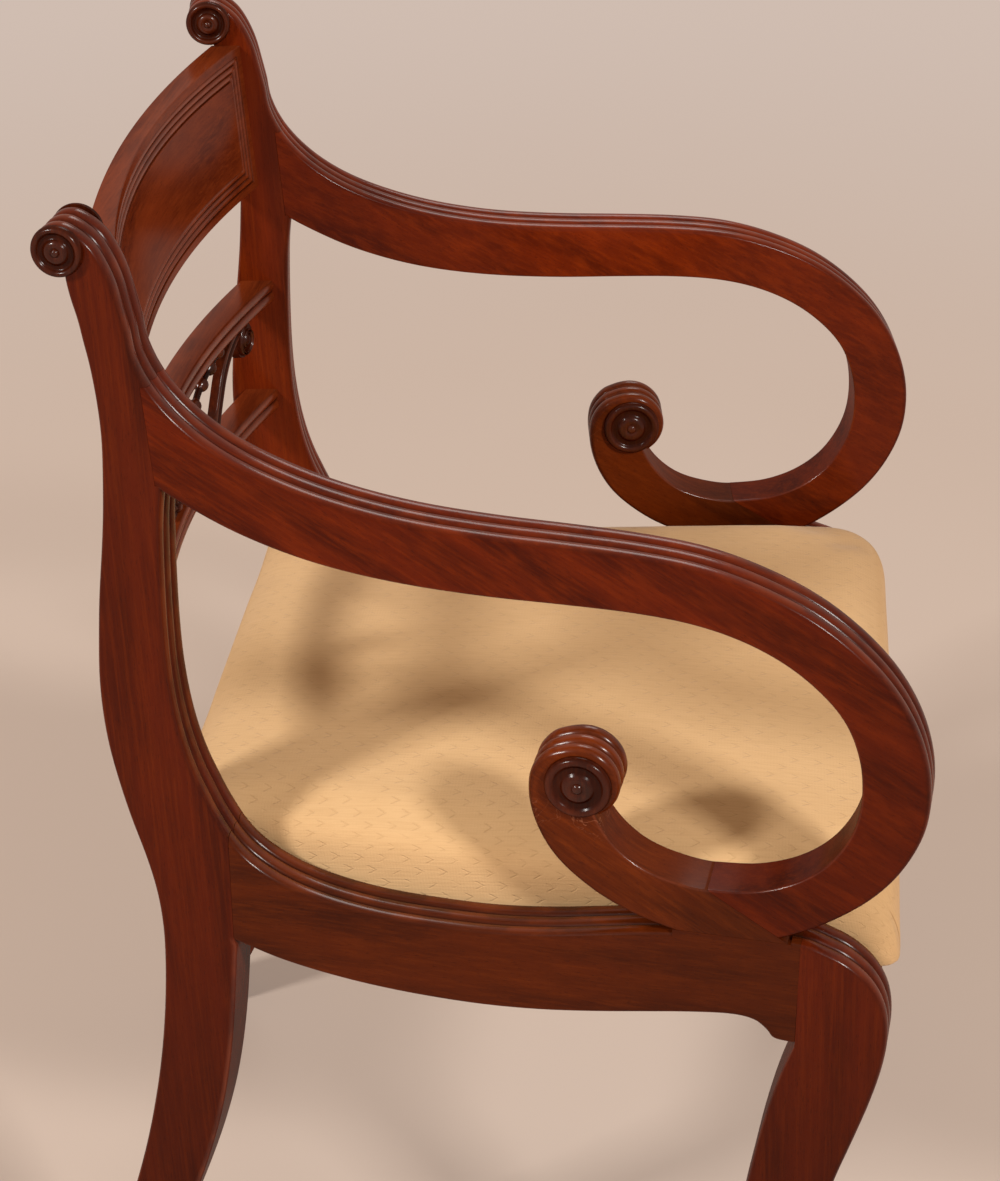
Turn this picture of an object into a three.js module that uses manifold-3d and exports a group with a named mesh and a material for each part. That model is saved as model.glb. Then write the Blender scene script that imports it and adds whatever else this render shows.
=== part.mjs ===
// A reeded mahogany armchair with scrolled arms, a lyre in its back and a seat that drops in.
// Units are millimetres and +Z is up. The sitter faces -Y, and left and right are the sitter's own.
// Each side frame is worked out flat, in its own plane: run goes forward, rise goes up and
// the timber's thickness goes in from its outer face. A turned group then splays it.
import * as THREE from "three";
import { mergeVertices } from "three/addons/utils/BufferGeometryUtils.js";
import Module from "manifold-3d";

const wasm = await Module();
wasm.setup();

// Clearances and overruns that all joints share.
const jointGap = 0.3;
const overrun = 4;
const blankReach = 700;

// Side frames: thickness, the spread of their outer faces and the length between the rail's shoulders.
const sideThickness = 32;
const backHalfWidth = 233.3;
const frontHalfWidth = 276.1;
const railLength = 352;
const arris = 1.6;

// Reeding along the outer edges.
const reedCount = 3;
const reedDepth = 2.6;
const reedStepCount = 3;

// Rear upright: one sawn piece from the top scroll to the rear foot.
const uprightHeight = 850.5;
const uprightSweep = 152;
const uprightRingCount = 36;
const reedEndAboveRail = 26;
const topScrollShares = [0.52, 0.983];
const topScrollRadius = 14.5;

// Arm: how far it reaches past the rail's front shoulder, and its rise above the rail's flat as a share
// of the upright's. The flat, the middle of the scroll and the screw lie at shares of its size.
const armOverhang = 68;
const armRiseShare = 0.6034;
const armRingCount = 32;
const armSeatCut = 1.5;
const armBaseShares = [0.655, 0.824];
const armScrollShares = [0.516, 0.373];
const armScrollRadius = 24;
const scrollRingCount = 17;

// Joint between arm and upright, a nearly upright line: [share of the upright's sweep, share of the
// arm's rise] at its lower and upper end.
const armJointLowShares = [0.205, 1.018];
const armJointHighShares = [0.252, 1.356];
const armTenonHeight = 28;
const armTenonLength = 16;
const tenonThickness = 10;

// Scarf between the arm and its scroll, from the foot of the loop down to the rail, in the arm's shares.
const scarfStartShares = [0.698, 0.129];
const scarfEndShares = [0.811, 0.01];
const dowelRadius = 4;
const dowelLength = 24;
const dowelSideCount = 8;

// Side rail.
const railHigh = 436;
const railDrop = 77;
const railRingCount = 18;
const railTenonLength = 24;
const railTenonHeight = 34;
const railTenonDrop = 35;

// Front leg, whose knee carries on the rail's top.
const legSweep = 55;
const legRingCount = 20;

// Turned roundels on both faces of each scroll.
const roundelStand = 6;
const topRoundelRadius = 13.8;
const armRoundelRadius = 17.6;
const roundelSideCount = 16;
const drumSideCount = 18;

// Screw from under the rail into the foot of the arm.
const armScrewShare = 0.69;
const armScrewDrop = 50.5;
const armScrewLength = 72;
const armScrewHeadRadius = 5;
const armScrewHeadHeight = 4;
const armScrewRadius = 2.5;
const screwSideCount = 8;

// Crest rail: its lower and upper edge as shares of the upright's height above the rail, and their
// setbacks behind the rail's rear shoulder as shares of the upright's sweep.
const crestShares = [0.6803, 0.9264];
const crestSetbackShares = [0.2993, 0.3553];
const crestBow = 25;
const crestEndThickness = 19;
const crestMidThickness = 12.5;
const crestGroove = 1.7;
const crestStrip = 8;
const crestFillet = 1.4;
const crestTenonHeight = 74;
const crestTenonShare = 0.4276;

// Two cross rails below it, their tops and setback given in the same way.
const crossRailShares = [0.304, 0.509];
const crossRailSetbackShare = 0.25;
const crossRailHeight = 16.5;
const crossRailBow = 28;
const crossRailEndDepth = 24;
const crossRailMidDepth = 19;
const crossRailGroove = 1.8;
const crossTenonHeight = 9;
const crossTenonWidth = 13;
const crossTenonLength = 14;

// Lyre between the cross rails: measured from the middle of the back.
const lyreSetback = 4.5;
const lyreThickness = 7;
const lyreRelief = 1.6;
const voluteSideShare = 0.6815;
const voluteRadius = 12;
const voluteEyeRadius = 3.4;
const voluteRibbon = 3;
const voluteSideCount = 16;
const lyreSpanShare = 0.6858;
const lyreStemWidth = 9;
const lyreGroove = 1.5;
const stemRingCount = 13;
const pearlRadius = 3.7;
const pearlCount = 6;
const pearlSideCount = 6;
const strandWidth = 3.4;
const strandThickness = 4;
const strandRingCount = 9;
const bossHalfWidth = 21;
const bossShare = 0.206;
const bossThickness = 9;
const bossStepCount = 10;
const stringSpacing = 12;
const stringRadius = 1.3;
const stringSideCount = 8;
const stringShare = 0.81;

// Front and rear seat rails.
const seatDrop = 36.3;
const crossTimberHeight = 37.7;
const frontRailLead = 48;
const frontRailDepth = 25;
const rearRailFront = 20;
const rearRailDepth = 25;
const seatRailTenonHeight = 26;
const seatRailTenonWidth = 12;

// Corner blocks, their screws and the ledges.
const blockLeg = 50;
const blockNose = 7;
const blockHeight = 28;
const blockScrewOffset = 32;
const blockScrewRadius = 2;
const blockScrewHeadRadius = 4;
const blockScrewHeadHeight = 3;
const blockScrewSink = 6;
const blockScrewBite = 14;
const ledgeWidth = 14;
const ledgeHeight = 20;
const ledgeStart = 48;
const ledgeEndInset = 40;

// Drop-in seat: an upholstered beech frame.
const seatRear = 44;
const seatFrontLead = 60;
const seatClearance = 1.5;
const seatFrontCorner = 40;
const seatRearCorner = 8;
const padEdge = 50;
const padCrown = 13;
const padRoll = 14;
const padLip = 1.7;
const padLipWidth = 20;
const padWall = 9;
const seatBarWidth = 45;
const seatBarHeight = 20;
const seatBarTenonLength = 18;
const seatBarTenonWidth = 22;
const seatBarTenonHeight = 8;
const webWidth = 48;
const webThickness = 1.5;
const webSpacing = 112;
const webLengthwiseCount = 3;
const webCrosswiseCount = 3;
const webMargin = 9;
const clothThickness = 0.8;
const baseClothThickness = 1.3;
const cornerStepCount = 6;
const sideStepCount = 5;
const crownRingCount = 5;

// Outlines of the side frame. Each row is [outer run, outer rise, inner run, inner rise], as shares of
// the piece's own sizes. The outer edge is the reeded one.
const uprightShares = [
  [0.451, 0.996, 0.517, 0.985], [0.398, 0.988, 0.507, 0.975],
  [0.355, 0.976, 0.5, 0.962], [0.321, 0.961, 0.487, 0.949],
  [0.298, 0.944, 0.467, 0.935], [0.278, 0.928, 0.451, 0.919],
  [0.252, 0.908, 0.434, 0.902], [0.205, 0.878, 0.418, 0.876],
  [0.176, 0.849, 0.411, 0.849], [0.179, 0.821, 0.418, 0.821],
  [0.199, 0.792, 0.429, 0.792], [0.207, 0.762, 0.447, 0.762],
  [0.211, 0.729, 0.469, 0.729], [0.211, 0.696, 0.485, 0.696],
  [0.203, 0.663, 0.496, 0.663], [0.181, 0.63, 0.492, 0.631],
  [0.143, 0.6, 0.474, 0.601], [0.083, 0.57, 0.441, 0.571],
  [0.02, 0.543, 0.404, 0.544], [-0.02, 0.515, 0.358, 0.515],
  [-0.027, 0.484, 0.321, 0.484], [-0.013, 0.449, 0.305, 0.451],
  [0.003, 0.412, 0.31, 0.414], [0.023, 0.372, 0.327, 0.374],
  [0.053, 0.33, 0.355, 0.333], [0.096, 0.289, 0.394, 0.292],
  [0.156, 0.248, 0.444, 0.25], [0.229, 0.207, 0.504, 0.209],
  [0.312, 0.166, 0.573, 0.168], [0.401, 0.125, 0.656, 0.126],
  [0.5, 0.083, 0.756, 0.084], [0.613, 0.042, 0.872, 0.042],
  [0.739, 0, 0.998, 0], [0.773, -0.011, 1.032, -0.011],
];
const armShares = [
  [-0.125, 1.504, -0.182, 1.444], [-0.103, 1.392, -0.158, 1.321],
  [-0.078, 1.289, -0.137, 1.177], [-0.034, 1.201, -0.094, 1.066],
  [0.025, 1.131, -0.014, 0.982], [0.098, 1.078, 0.067, 0.924],
  [0.182, 1.038, 0.158, 0.882], [0.278, 1.012, 0.264, 0.857],
  [0.384, 1, 0.379, 0.847], [0.489, 0.996, 0.489, 0.847],
  [0.585, 0.99, 0.583, 0.845], [0.672, 0.974, 0.662, 0.833],
  [0.753, 0.936, 0.729, 0.805], [0.83, 0.876, 0.789, 0.759],
  [0.895, 0.795, 0.84, 0.695], [0.945, 0.703, 0.878, 0.62],
  [0.98, 0.596, 0.9, 0.528], [0.998, 0.48, 0.907, 0.434],
  [0.997, 0.365, 0.901, 0.349], [0.977, 0.263, 0.882, 0.273],
  [0.943, 0.173, 0.853, 0.211], [0.897, 0.098, 0.812, 0.163],
  [0.84, 0.034, 0.76, 0.133], [0.772, -0.018, 0.7, 0.124],
];
const scrollShares = [
  [0.862, -0.08, 0.83, 0.12], [0.782, -0.034, 0.763, 0.133],
  [0.7, -0.022, 0.7, 0.124], [0.633, 0.004, 0.65, 0.137],
  [0.573, 0.044, 0.608, 0.163], [0.523, 0.098, 0.576, 0.203],
  [0.483, 0.163, 0.552, 0.253], [0.457, 0.239, 0.535, 0.309],
  [0.444, 0.321, 0.523, 0.357], [0.447, 0.394, 0.517, 0.375],
  [0.467, 0.444, 0.516, 0.376], [0.494, 0.466, 0.518, 0.378],
];
const railShares = [
  [-0.053, -0.857, -0.063, 0.571], [-0.021, -0.494, -0.026, 0.649],
  [0.023, -0.169, 0.02, 0.721], [0.086, 0.045, 0.083, 0.818],
  [0.163, 0.175, 0.162, 0.899], [0.252, 0.249, 0.252, 0.958],
  [0.349, 0.275, 0.349, 0.992], [0.452, 0.273, 0.452, 1],
  [0.552, 0.227, 0.552, 0.974], [0.65, 0.149, 0.65, 0.918],
  [0.744, 0.071, 0.738, 0.853], [0.836, 0.019, 0.819, 0.795],
  [0.904, 0, 0.887, 0.762], [0.956, -0.003, 0.927, 0.786],
  [0.985, 0.003, 0.95, 0.864], [1.005, 0.013, 0.966, 0.942],
  [1.03, 0.039, 1.007, 0.957],
];
const legShares = [
  [-0.429, 1.001, -0.429, 0.835], [-0.099, 1, -0.209, 0.835],
  [0.213, 0.991, -0.08, 0.834], [0.515, 0.974, -0.026, 0.83],
  [0.771, 0.946, -0.026, 0.823], [0.936, 0.908, -0.044, 0.814],
  [0.997, 0.862, -0.08, 0.798], [0.967, 0.807, -0.145, 0.771],
  [0.863, 0.741, -0.236, 0.722], [0.707, 0.667, -0.337, 0.656],
  [0.542, 0.592, -0.419, 0.587], [0.405, 0.514, -0.502, 0.514],
  [0.313, 0.436, -0.557, 0.438], [0.273, 0.356, -0.566, 0.36],
  [0.291, 0.275, -0.52, 0.28], [0.368, 0.195, -0.41, 0.197],
  [0.506, 0.117, -0.236, 0.117], [0.643, 0.057, -0.071, 0.057],
  [0.808, 0, 0.112, 0], [0.873, -0.021, 0.177, -0.021],
];
// Roundel from its middle to its rim: [radius, stand] shares.
const roundelShares = [
  [0, 1], [0.2, 0.94], [0.28, 0.45], [0.5, 0.45], [0.62, 0.85],
  [0.74, 0.4], [0.9, 0.7], [1, 0.35], [1, 0], [0, 0],
];
// Side of the pad from its foot to its roll: [inset, height] shares.
const padShares = [
  [0.45, 0], [0.18, 0.1], [0.04, 0.34], [0, 0.66], [0.07, 0.82], [0.26, 0.94], [0.6, 0.995], [1, 1.03],
];
// Middle of the lyre's stem from its volute to its foot, and of the row of pearls from its upper end
// to the boss: [distance from the middle of the back, height] shares of the lyre.
const stemShares = [
  [0.99, 0.955], [0.93, 0.955], [0.865, 0.89], [0.79, 0.76], [0.735, 0.62],
  [0.695, 0.47], [0.655, 0.31], [0.62, 0.15], [0.6, -0.03],
];
const stemWidthShares = [0.55, 0.72, 0.9, 1, 1, 0.95, 0.95, 1.1, 1.35];
const strandShares = [
  [0.745, 1.04], [0.66, 0.9], [0.55, 0.835], [0.44, 0.745],
  [0.335, 0.58], [0.235, 0.36], [0.165, 0.2], [0.13, 0.16],
];

const splay = Math.asin((frontHalfWidth - backHalfWidth) / railLength);

// Heights that follow from the sizes above.
const armBaseHeight = railHigh - armSeatCut;
const seatPlane = railHigh - seatDrop;
const crossTimberBottom = seatPlane - crossTimberHeight;
const backRise = (share) => railHigh + share * (uprightHeight - railHigh);
const [crestBottom, crestTop] = crestShares.map(backRise);
const [lowerRailTop, upperRailTop] = crossRailShares.map(backRise);
const armRise = armRiseShare * (uprightHeight - armBaseHeight);

// Places along and across that follow in the same way.
const armReach = railLength + armOverhang;
const frontRailFront = railLength + frontRailLead;
const ledgeEnd = railLength - ledgeEndInset;
const seatFront = railLength + seatFrontLead;
const [crestBottomSetback, crestTopSetback] = crestSetbackShares.map((share) => share * uprightSweep);
const crestTenonBack = crestTenonShare * uprightSweep;
const crossRailSetback = crossRailSetbackShare * uprightSweep;
const voluteSide = voluteSideShare * backHalfWidth;
const lyreSpan = lyreSpanShare * backHalfWidth;

// Places in a side's plane from shares: the upright's parts below and above the rail follow their own
// heights, and the arm's follow its reach and rise.
const railShare = 0.5126;
function uprightPlace(run, rise) {
  const above = rise - railShare;
  const part = above > 0 ? (uprightHeight - railHigh) / (1 - railShare) : railHigh / railShare;
  return new THREE.Vector2(-run * uprightSweep, railHigh + above * part);
}
function armPlace(run, rise) {
  return new THREE.Vector2(run * armReach, armBaseHeight + rise * armRise);
}
const topScroll = uprightPlace(...topScrollShares);
const armScroll = armPlace(...armScrollShares);

// Solids.

// A closed geometry as a solid, turned right side out.
function solidOf(geometry) {
  const plain = geometry.clone();
  plain.deleteAttribute("normal");
  plain.deleteAttribute("uv");
  const merged = mergeVertices(plain, 1e-4);
  const corners = new Uint32Array(merged.index.array);
  const made = new wasm.Manifold(
    new wasm.Mesh({ numProp: 3, vertProperties: merged.attributes.position.array, triVerts: corners }),
  );
  if (made.volume() > 0) return made;
  for (let i = 0; i < corners.length; i += 3) {
    [corners[i + 1], corners[i + 2]] = [corners[i + 2], corners[i + 1]];
  }
  return new wasm.Manifold(
    new wasm.Mesh({ numProp: 3, vertProperties: merged.attributes.position.array, triVerts: corners }),
  );
}

// The main body of a cut, without the slivers that a cutter can leave.
function mainBody(solid) {
  return solid.decompose().reduce((a, b) => (a.volume() > b.volume() ? a : b));
}

function geometryOf(solid) {
  const mesh = solid.getMesh();
  const positions = new Float32Array(mesh.numVert * 3);
  for (let i = 0; i < mesh.numVert; i++) {
    positions.set(mesh.vertProperties.subarray(i * mesh.numProp, i * mesh.numProp + 3), i * 3);
  }
  const geometry = new THREE.BufferGeometry();
  geometry.setAttribute("position", new THREE.BufferAttribute(positions, 3));
  geometry.setIndex(new THREE.BufferAttribute(new Uint32Array(mesh.triVerts), 1));
  const flat = geometry.toNonIndexed();
  flat.computeVertexNormals();
  return flat;
}

function block(low, high) {
  const size = new THREE.Vector3().subVectors(high, low);
  const geometry = new THREE.BoxGeometry(size.x, size.y, size.z);
  geometry.translate(low.x + size.x / 2, low.y + size.y / 2, low.z + size.z / 2);
  return geometry;
}

// A round bar between two points.
function bar(from, to, radius, sideCount) {
  const along = new THREE.Vector3().subVectors(to, from);
  const geometry = new THREE.CylinderGeometry(radius, radius, along.length(), sideCount);
  const up = new THREE.Vector3(0, 1, 0);
  geometry.applyQuaternion(new THREE.Quaternion().setFromUnitVectors(up, along.clone().normalize()));
  const middle = new THREE.Vector3().addVectors(from, to).multiplyScalar(0.5);
  geometry.translate(middle.x, middle.y, middle.z);
  return geometry;
}

// A flat outline in plan, raised between two heights.
function prism(outline, low, high) {
  const geometry = new THREE.ExtrudeGeometry(new THREE.Shape(outline), {
    depth: high - low,
    bevelEnabled: false,
    curveSegments: 1,
  });
  geometry.translate(0, 0, low);
  return geometry;
}

// Rings of points joined into a skin, with a fan over each end. turned(k, i) picks a quad's other diagonal.
function skin(rings, turned = () => false) {
  const size = rings[0].length;
  const positions = [];
  rings.forEach((ring) => ring.forEach((p) => positions.push(p.x, p.y, p.z)));
  const index = [];
  for (let k = 0; k + 1 < rings.length; k++) {
    for (let i = 0; i < size; i++) {
      const a = k * size + i;
      const b = k * size + ((i + 1) % size);
      const c = a + size;
      const d = b + size;
      if (turned(k, i)) index.push(a, b, d, a, d, c);
      else index.push(a, b, c, b, d, c);
    }
  }
  const cap = (ring, start, outward) => {
    const middle = ring.reduce((sum, p) => sum.add(p), new THREE.Vector3()).divideScalar(size);
    const hub = positions.length / 3;
    positions.push(middle.x, middle.y, middle.z);
    for (let i = 0; i < size; i++) {
      const a = start + i;
      const b = start + ((i + 1) % size);
      if (outward) index.push(a, b, hub);
      else index.push(b, a, hub);
    }
  };
  cap(rings[0], 0, false);
  cap(rings[rings.length - 1], (rings.length - 1) * size, true);
  const geometry = new THREE.BufferGeometry();
  geometry.setAttribute("position", new THREE.Float32BufferAttribute(positions, 3));
  geometry.setIndex(index);
  return geometry;
}

// The side frame, in its own plane.

// A point of the side frame: how far in from the outer face, how far forward and how high.
function sidePoint(inward, run, rise) {
  return new THREE.Vector3(-inward, -run, rise);
}

// A flat outline in the side's plane, cut through between two depths from the outer face.
function sidePlate(outline, from, to) {
  const geometry = new THREE.ExtrudeGeometry(new THREE.Shape(outline), {
    depth: to - from,
    bevelEnabled: false,
    curveSegments: 1,
  });
  const turn = new THREE.Matrix4().makeBasis(
    new THREE.Vector3(0, -1, 0),
    new THREE.Vector3(0, 0, 1),
    new THREE.Vector3(-1, 0, 0),
  );
  geometry.applyMatrix4(turn);
  geometry.translate(-from, 0, 0);
  return geometry;
}

function sideBlock(inwardFrom, inwardTo, runFrom, runTo, riseFrom, riseTo) {
  return block(
    new THREE.Vector3(-inwardTo, -runTo, riseFrom),
    new THREE.Vector3(-inwardFrom, -runFrom, riseTo),
  );
}

// All that lies to one side of a line in the side's plane: to the left of it from start to end.
function leftOf(start, end, shift = 0) {
  const along = new THREE.Vector2().subVectors(end, start).normalize();
  const left = new THREE.Vector2(-along.y, along.x);
  const a = start.clone().addScaledVector(along, -blankReach).addScaledVector(left, shift);
  const b = start.clone().addScaledVector(along, blankReach).addScaledVector(left, shift);
  const c = b.clone().addScaledVector(left, blankReach);
  const d = a.clone().addScaledVector(left, blankReach);
  return solidOf(sidePlate([a, b, c, d], -overrun, sideThickness + overrun));
}

// Two curves through a table's outer and inner points.
function edges(shares, place) {
  return {
    outer: new THREE.SplineCurve(shares.map(([run, rise]) => place(run, rise))),
    inner: new THREE.SplineCurve(shares.map(([, , run, rise]) => place(run, rise))),
  };
}

// One ring of a blade: reeds over the outer edge, then the plain inner edge with its eased corners.
function bladeRing(outer, inner, outward, depth, grow) {
  const ring = [];
  const width = sideThickness + 2 * grow;
  const across = new THREE.Vector2().subVectors(outer, inner).normalize();
  const stepCount = reedCount * reedStepCount;
  for (let step = 0; step <= stepCount; step++) {
    const within = (step % reedStepCount) / reedStepCount;
    const sink = depth * (1 - Math.sin(Math.PI * within));
    const p = outer.clone().addScaledVector(outward, grow - sink);
    ring.push(sidePoint((step / stepCount) * width - grow, p.x, p.y));
  }
  const eased = inner.clone().addScaledVector(across, arris - grow);
  const flat = inner.clone().addScaledVector(across, -grow);
  ring.push(sidePoint(width - grow, eased.x, eased.y));
  ring.push(sidePoint(width - grow - arris, flat.x, flat.y));
  ring.push(sidePoint(arris - grow, flat.x, flat.y));
  ring.push(sidePoint(-grow, eased.x, eased.y));
  return ring;
}

function blade({ outer, inner }, ringCount, depthAt = () => reedDepth, grow = 0) {
  const rings = [];
  for (let k = 0; k < ringCount; k++) {
    const at = k / (ringCount - 1);
    const o = outer.getPoint(at);
    const i = inner.getPoint(at);
    const along = outer.getTangent(at);
    const outward = new THREE.Vector2(-along.y, along.x);
    if (outward.dot(new THREE.Vector2().subVectors(o, i)) < 0) outward.negate();
    rings.push(bladeRing(o, i, outward, depthAt(o), grow));
  }
  return solidOf(skin(rings));
}

// The reeded drum in the middle of a scroll.
function drum(middle, radius) {
  const profile = [new THREE.Vector2(0, 0)];
  const stepCount = reedCount * reedStepCount;
  for (let step = 0; step <= stepCount; step++) {
    const within = (step % reedStepCount) / reedStepCount;
    const sink = reedDepth * (1 - Math.sin(Math.PI * within));
    profile.push(new THREE.Vector2(radius - sink, (step / stepCount) * sideThickness));
  }
  profile.push(new THREE.Vector2(0, sideThickness));
  const geometry = new THREE.LatheGeometry(profile, drumSideCount);
  geometry.rotateZ(Math.PI / 2);
  geometry.translate(0, -middle.x, middle.y);
  return solidOf(geometry);
}

// A tenon or its mortise through a shoulder line in the side's plane.
function shoulderTenon(middle, inwards, height, length, gap) {
  const up = new THREE.Vector2(-inwards.y, inwards.x);
  const half = height / 2 + gap;
  const root = middle.clone().addScaledVector(inwards, -overrun);
  const tip = middle.clone().addScaledVector(inwards, length + gap);
  const outline = [
    root.clone().addScaledVector(up, -half),
    tip.clone().addScaledVector(up, -half),
    tip.clone().addScaledVector(up, half),
    root.clone().addScaledVector(up, half),
  ];
  const from = (sideThickness - tenonThickness) / 2 - gap;
  return solidOf(sidePlate(outline, from, sideThickness - from));
}

const jointPlace = ([run, rise]) => new THREE.Vector2(-run * uprightSweep, armPlace(0, rise).y);
const armJointStart = jointPlace(armJointLowShares);
const armJointEnd = jointPlace(armJointHighShares);
const scarfStart = armPlace(...scarfStartShares);
const scarfEnd = armPlace(...scarfEndShares);
const armEdges = edges(armShares, armPlace);

function armTenon(gap) {
  const middle = new THREE.Vector2().addVectors(armJointStart, armJointEnd).multiplyScalar(0.5);
  const up = new THREE.Vector2().subVectors(armJointEnd, armJointStart).normalize();
  const backward = new THREE.Vector2(-up.y, up.x);
  return shoulderTenon(middle, backward, armTenonHeight, armTenonLength, gap);
}

function railTenon(run, direction, gap) {
  const middle = new THREE.Vector2(run, railHigh - railTenonDrop);
  const inwards = new THREE.Vector2(direction, 0);
  return shoulderTenon(middle, inwards, railTenonHeight, railTenonLength, gap);
}

// Mortises in the inner face, for what spans the two sides.
function innerMortise(run, rise, width, height, length, gap) {
  return solidOf(
    sideBlock(
      sideThickness - length - gap,
      sideThickness + overrun,
      run - width / 2 - gap,
      run + width / 2 + gap,
      rise - height / 2 - gap,
      rise + height / 2 + gap,
    ),
  );
}

// Where each spanning piece enters the side: [run, rise, width, height].
const upperRailMiddle = upperRailTop - crossRailHeight / 2;
const lowerRailMiddle = lowerRailTop - crossRailHeight / 2;
const crossTenonRun = -(crossRailSetback + crossRailEndDepth / 2);
const seatRailMiddle = (crossTimberBottom + seatPlane) / 2;
const rearTenonRun = -(rearRailFront + rearRailDepth / 2);
const frontTenonRun = frontRailFront - frontRailDepth / 2;
const crestTenonRise = (crestTop + crestBottom) / 2;
const spans = {
  crest: [-crestTenonBack, crestTenonRise, crossTenonHeight, crestTenonHeight],
  upper: [crossTenonRun, upperRailMiddle, crossTenonWidth, crossTenonHeight],
  lower: [crossTenonRun, lowerRailMiddle, crossTenonWidth, crossTenonHeight],
  rear: [rearTenonRun, seatRailMiddle, seatRailTenonWidth, seatRailTenonHeight],
  front: [frontTenonRun, seatRailMiddle, seatRailTenonWidth, seatRailTenonHeight],
};

function mortise(name) {
  const [run, rise, width, height] = spans[name];
  return innerMortise(run, rise, width, height, crossTenonLength, jointGap);
}

function dowel(gap) {
  const middle = new THREE.Vector2().addVectors(scarfStart, scarfEnd).multiplyScalar(0.5);
  const along = new THREE.Vector2().subVectors(scarfEnd, scarfStart).normalize();
  const normal = new THREE.Vector2(-along.y, along.x);
  const half = dowelLength / 2 + gap;
  const from = middle.clone().addScaledVector(normal, -half);
  const to = middle.clone().addScaledVector(normal, half);
  return solidOf(
    bar(
      sidePoint(sideThickness / 2, from.x, from.y),
      sidePoint(sideThickness / 2, to.x, to.y),
      dowelRadius + gap,
      dowelSideCount,
    ),
  );
}

function armScrew(gap) {
  const at = (rise) => sidePoint(sideThickness / 2, armPlace(armScrewShare, 0).x, rise);
  const low = armBaseHeight - armScrewDrop;
  const high = low + armScrewLength;
  const headLow = gap ? railHigh - railDrop - 2 * overrun : low;
  const head = bar(at(headLow), at(low + armScrewHeadHeight + gap), armScrewHeadRadius + gap, screwSideCount);
  const shank = bar(at(low + gap), at(high + gap), armScrewRadius + gap, screwSideCount);
  return solidOf(head).add(solidOf(shank));
}

// Pilot holes for the corner blocks' screws, square to the inner face.
function sideScrewHole(run) {
  return solidOf(
    bar(
      sidePoint(sideThickness - blockScrewBite - jointGap, run, seatRailMiddle),
      sidePoint(sideThickness + overrun, run, seatRailMiddle),
      blockScrewRadius + jointGap,
      screwSideCount,
    ),
  );
}

const beneathFloor = sideBlock(-overrun, sideThickness + overrun, -blankReach, blankReach, -blankReach, 0);
const floorCut = solidOf(beneathFloor);

function makeUpright() {
  const depthAt = (p) => (p.y > railHigh + reedEndAboveRail ? reedDepth : 0);
  let body = blade(edges(uprightShares, uprightPlace), uprightRingCount, depthAt);
  body = body.add(drum(topScroll, topScrollRadius)).subtract(floorCut);
  // The rail's shoulder, cut straight down.
  const shoulder = sideBlock(-overrun, sideThickness + overrun, -jointGap, blankReach, 0, armJointStart.y);
  body = body.subtract(solidOf(shoulder));
  // The arm's bed.
  const bed = blade(armEdges, armRingCount, () => 0, jointGap);
  body = body.subtract(bed.subtract(leftOf(armJointStart, armJointEnd, jointGap)));
  body = body.subtract(armTenon(jointGap)).subtract(railTenon(0, -1, jointGap));
  body = body.subtract(mortise("crest")).subtract(mortise("upper")).subtract(mortise("lower"));
  return mainBody(body.subtract(mortise("rear")));
}

function makeArm() {
  let body = blade(armEdges, armRingCount);
  body = body.subtract(leftOf(armJointStart, armJointEnd));
  // What lies under the scarf belongs to the scroll.
  body = body.subtract(leftOf(scarfEnd, scarfStart));
  return mainBody(body).add(armTenon(0)).subtract(dowel(jointGap));
}

function makeArmScroll() {
  let body = blade(edges(scrollShares, armPlace), scrollRingCount);
  body = body.subtract(leftOf(scarfStart, scarfEnd, -jointGap));
  const under = sideBlock(-overrun, sideThickness + overrun, 0, blankReach, 0, armBaseHeight + jointGap);
  body = body.subtract(solidOf(under));
  body = mainBody(body).add(drum(armScroll, armScrollRadius));
  return mainBody(body.subtract(dowel(jointGap)).subtract(armScrew(jointGap)));
}

function makeSideRail() {
  const place = (run, rise) => new THREE.Vector2(run * railLength, railHigh - rise * railDrop);
  let body = blade(edges(railShares, place), railRingCount);
  // The flat that the arm stands on.
  const [from, to] = armBaseShares.map((share) => armPlace(share, 0).x);
  const flat = sideBlock(0, sideThickness, from, to, seatPlane, armBaseHeight);
  const reach = sideThickness + overrun;
  const clear = sideBlock(-overrun, reach, from, to, armBaseHeight, armBaseHeight + overrun);
  body = body.add(solidOf(flat)).subtract(solidOf(clear));
  const inside = sideBlock(-overrun, sideThickness + overrun, 0, railLength - jointGap, 0, blankReach);
  body = mainBody(body.intersect(solidOf(inside)));
  body = body.add(railTenon(0, -1, 0)).add(railTenon(railLength - jointGap, 1, 0));
  const rearScrew = blockScrewOffset / Math.cos(splay) - rearRailFront;
  const frontScrew = frontRailFront - frontRailDepth - blockScrewOffset;
  body = body.subtract(sideScrewHole(rearScrew)).subtract(sideScrewHole(frontScrew));
  return body.subtract(armScrew(jointGap));
}

function makeFrontLeg() {
  const place = (run, rise) => new THREE.Vector2(railLength + run * legSweep, rise * railHigh);
  let body = blade(edges(legShares, place), legRingCount).subtract(floorCut);
  const low = crossTimberBottom - overrun;
  const behind = sideBlock(-overrun, sideThickness + overrun, 0, railLength, low, blankReach);
  body = mainBody(body.subtract(solidOf(behind)));
  return body.subtract(railTenon(railLength, 1, jointGap)).subtract(mortise("front"));
}

// A roundel standing on one face of a scroll.
function makeRoundel(middle, radius, outerFace) {
  const profile = roundelShares.map(([r, h]) => new THREE.Vector2(r * radius, h * roundelStand));
  const geometry = new THREE.LatheGeometry(profile.reverse(), roundelSideCount);
  geometry.rotateZ(outerFace ? -Math.PI / 2 : Math.PI / 2);
  geometry.translate(outerFace ? jointGap : -sideThickness - jointGap, -middle.x, middle.y);
  return solidOf(geometry);
}

// The pieces between the two sides.

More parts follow.
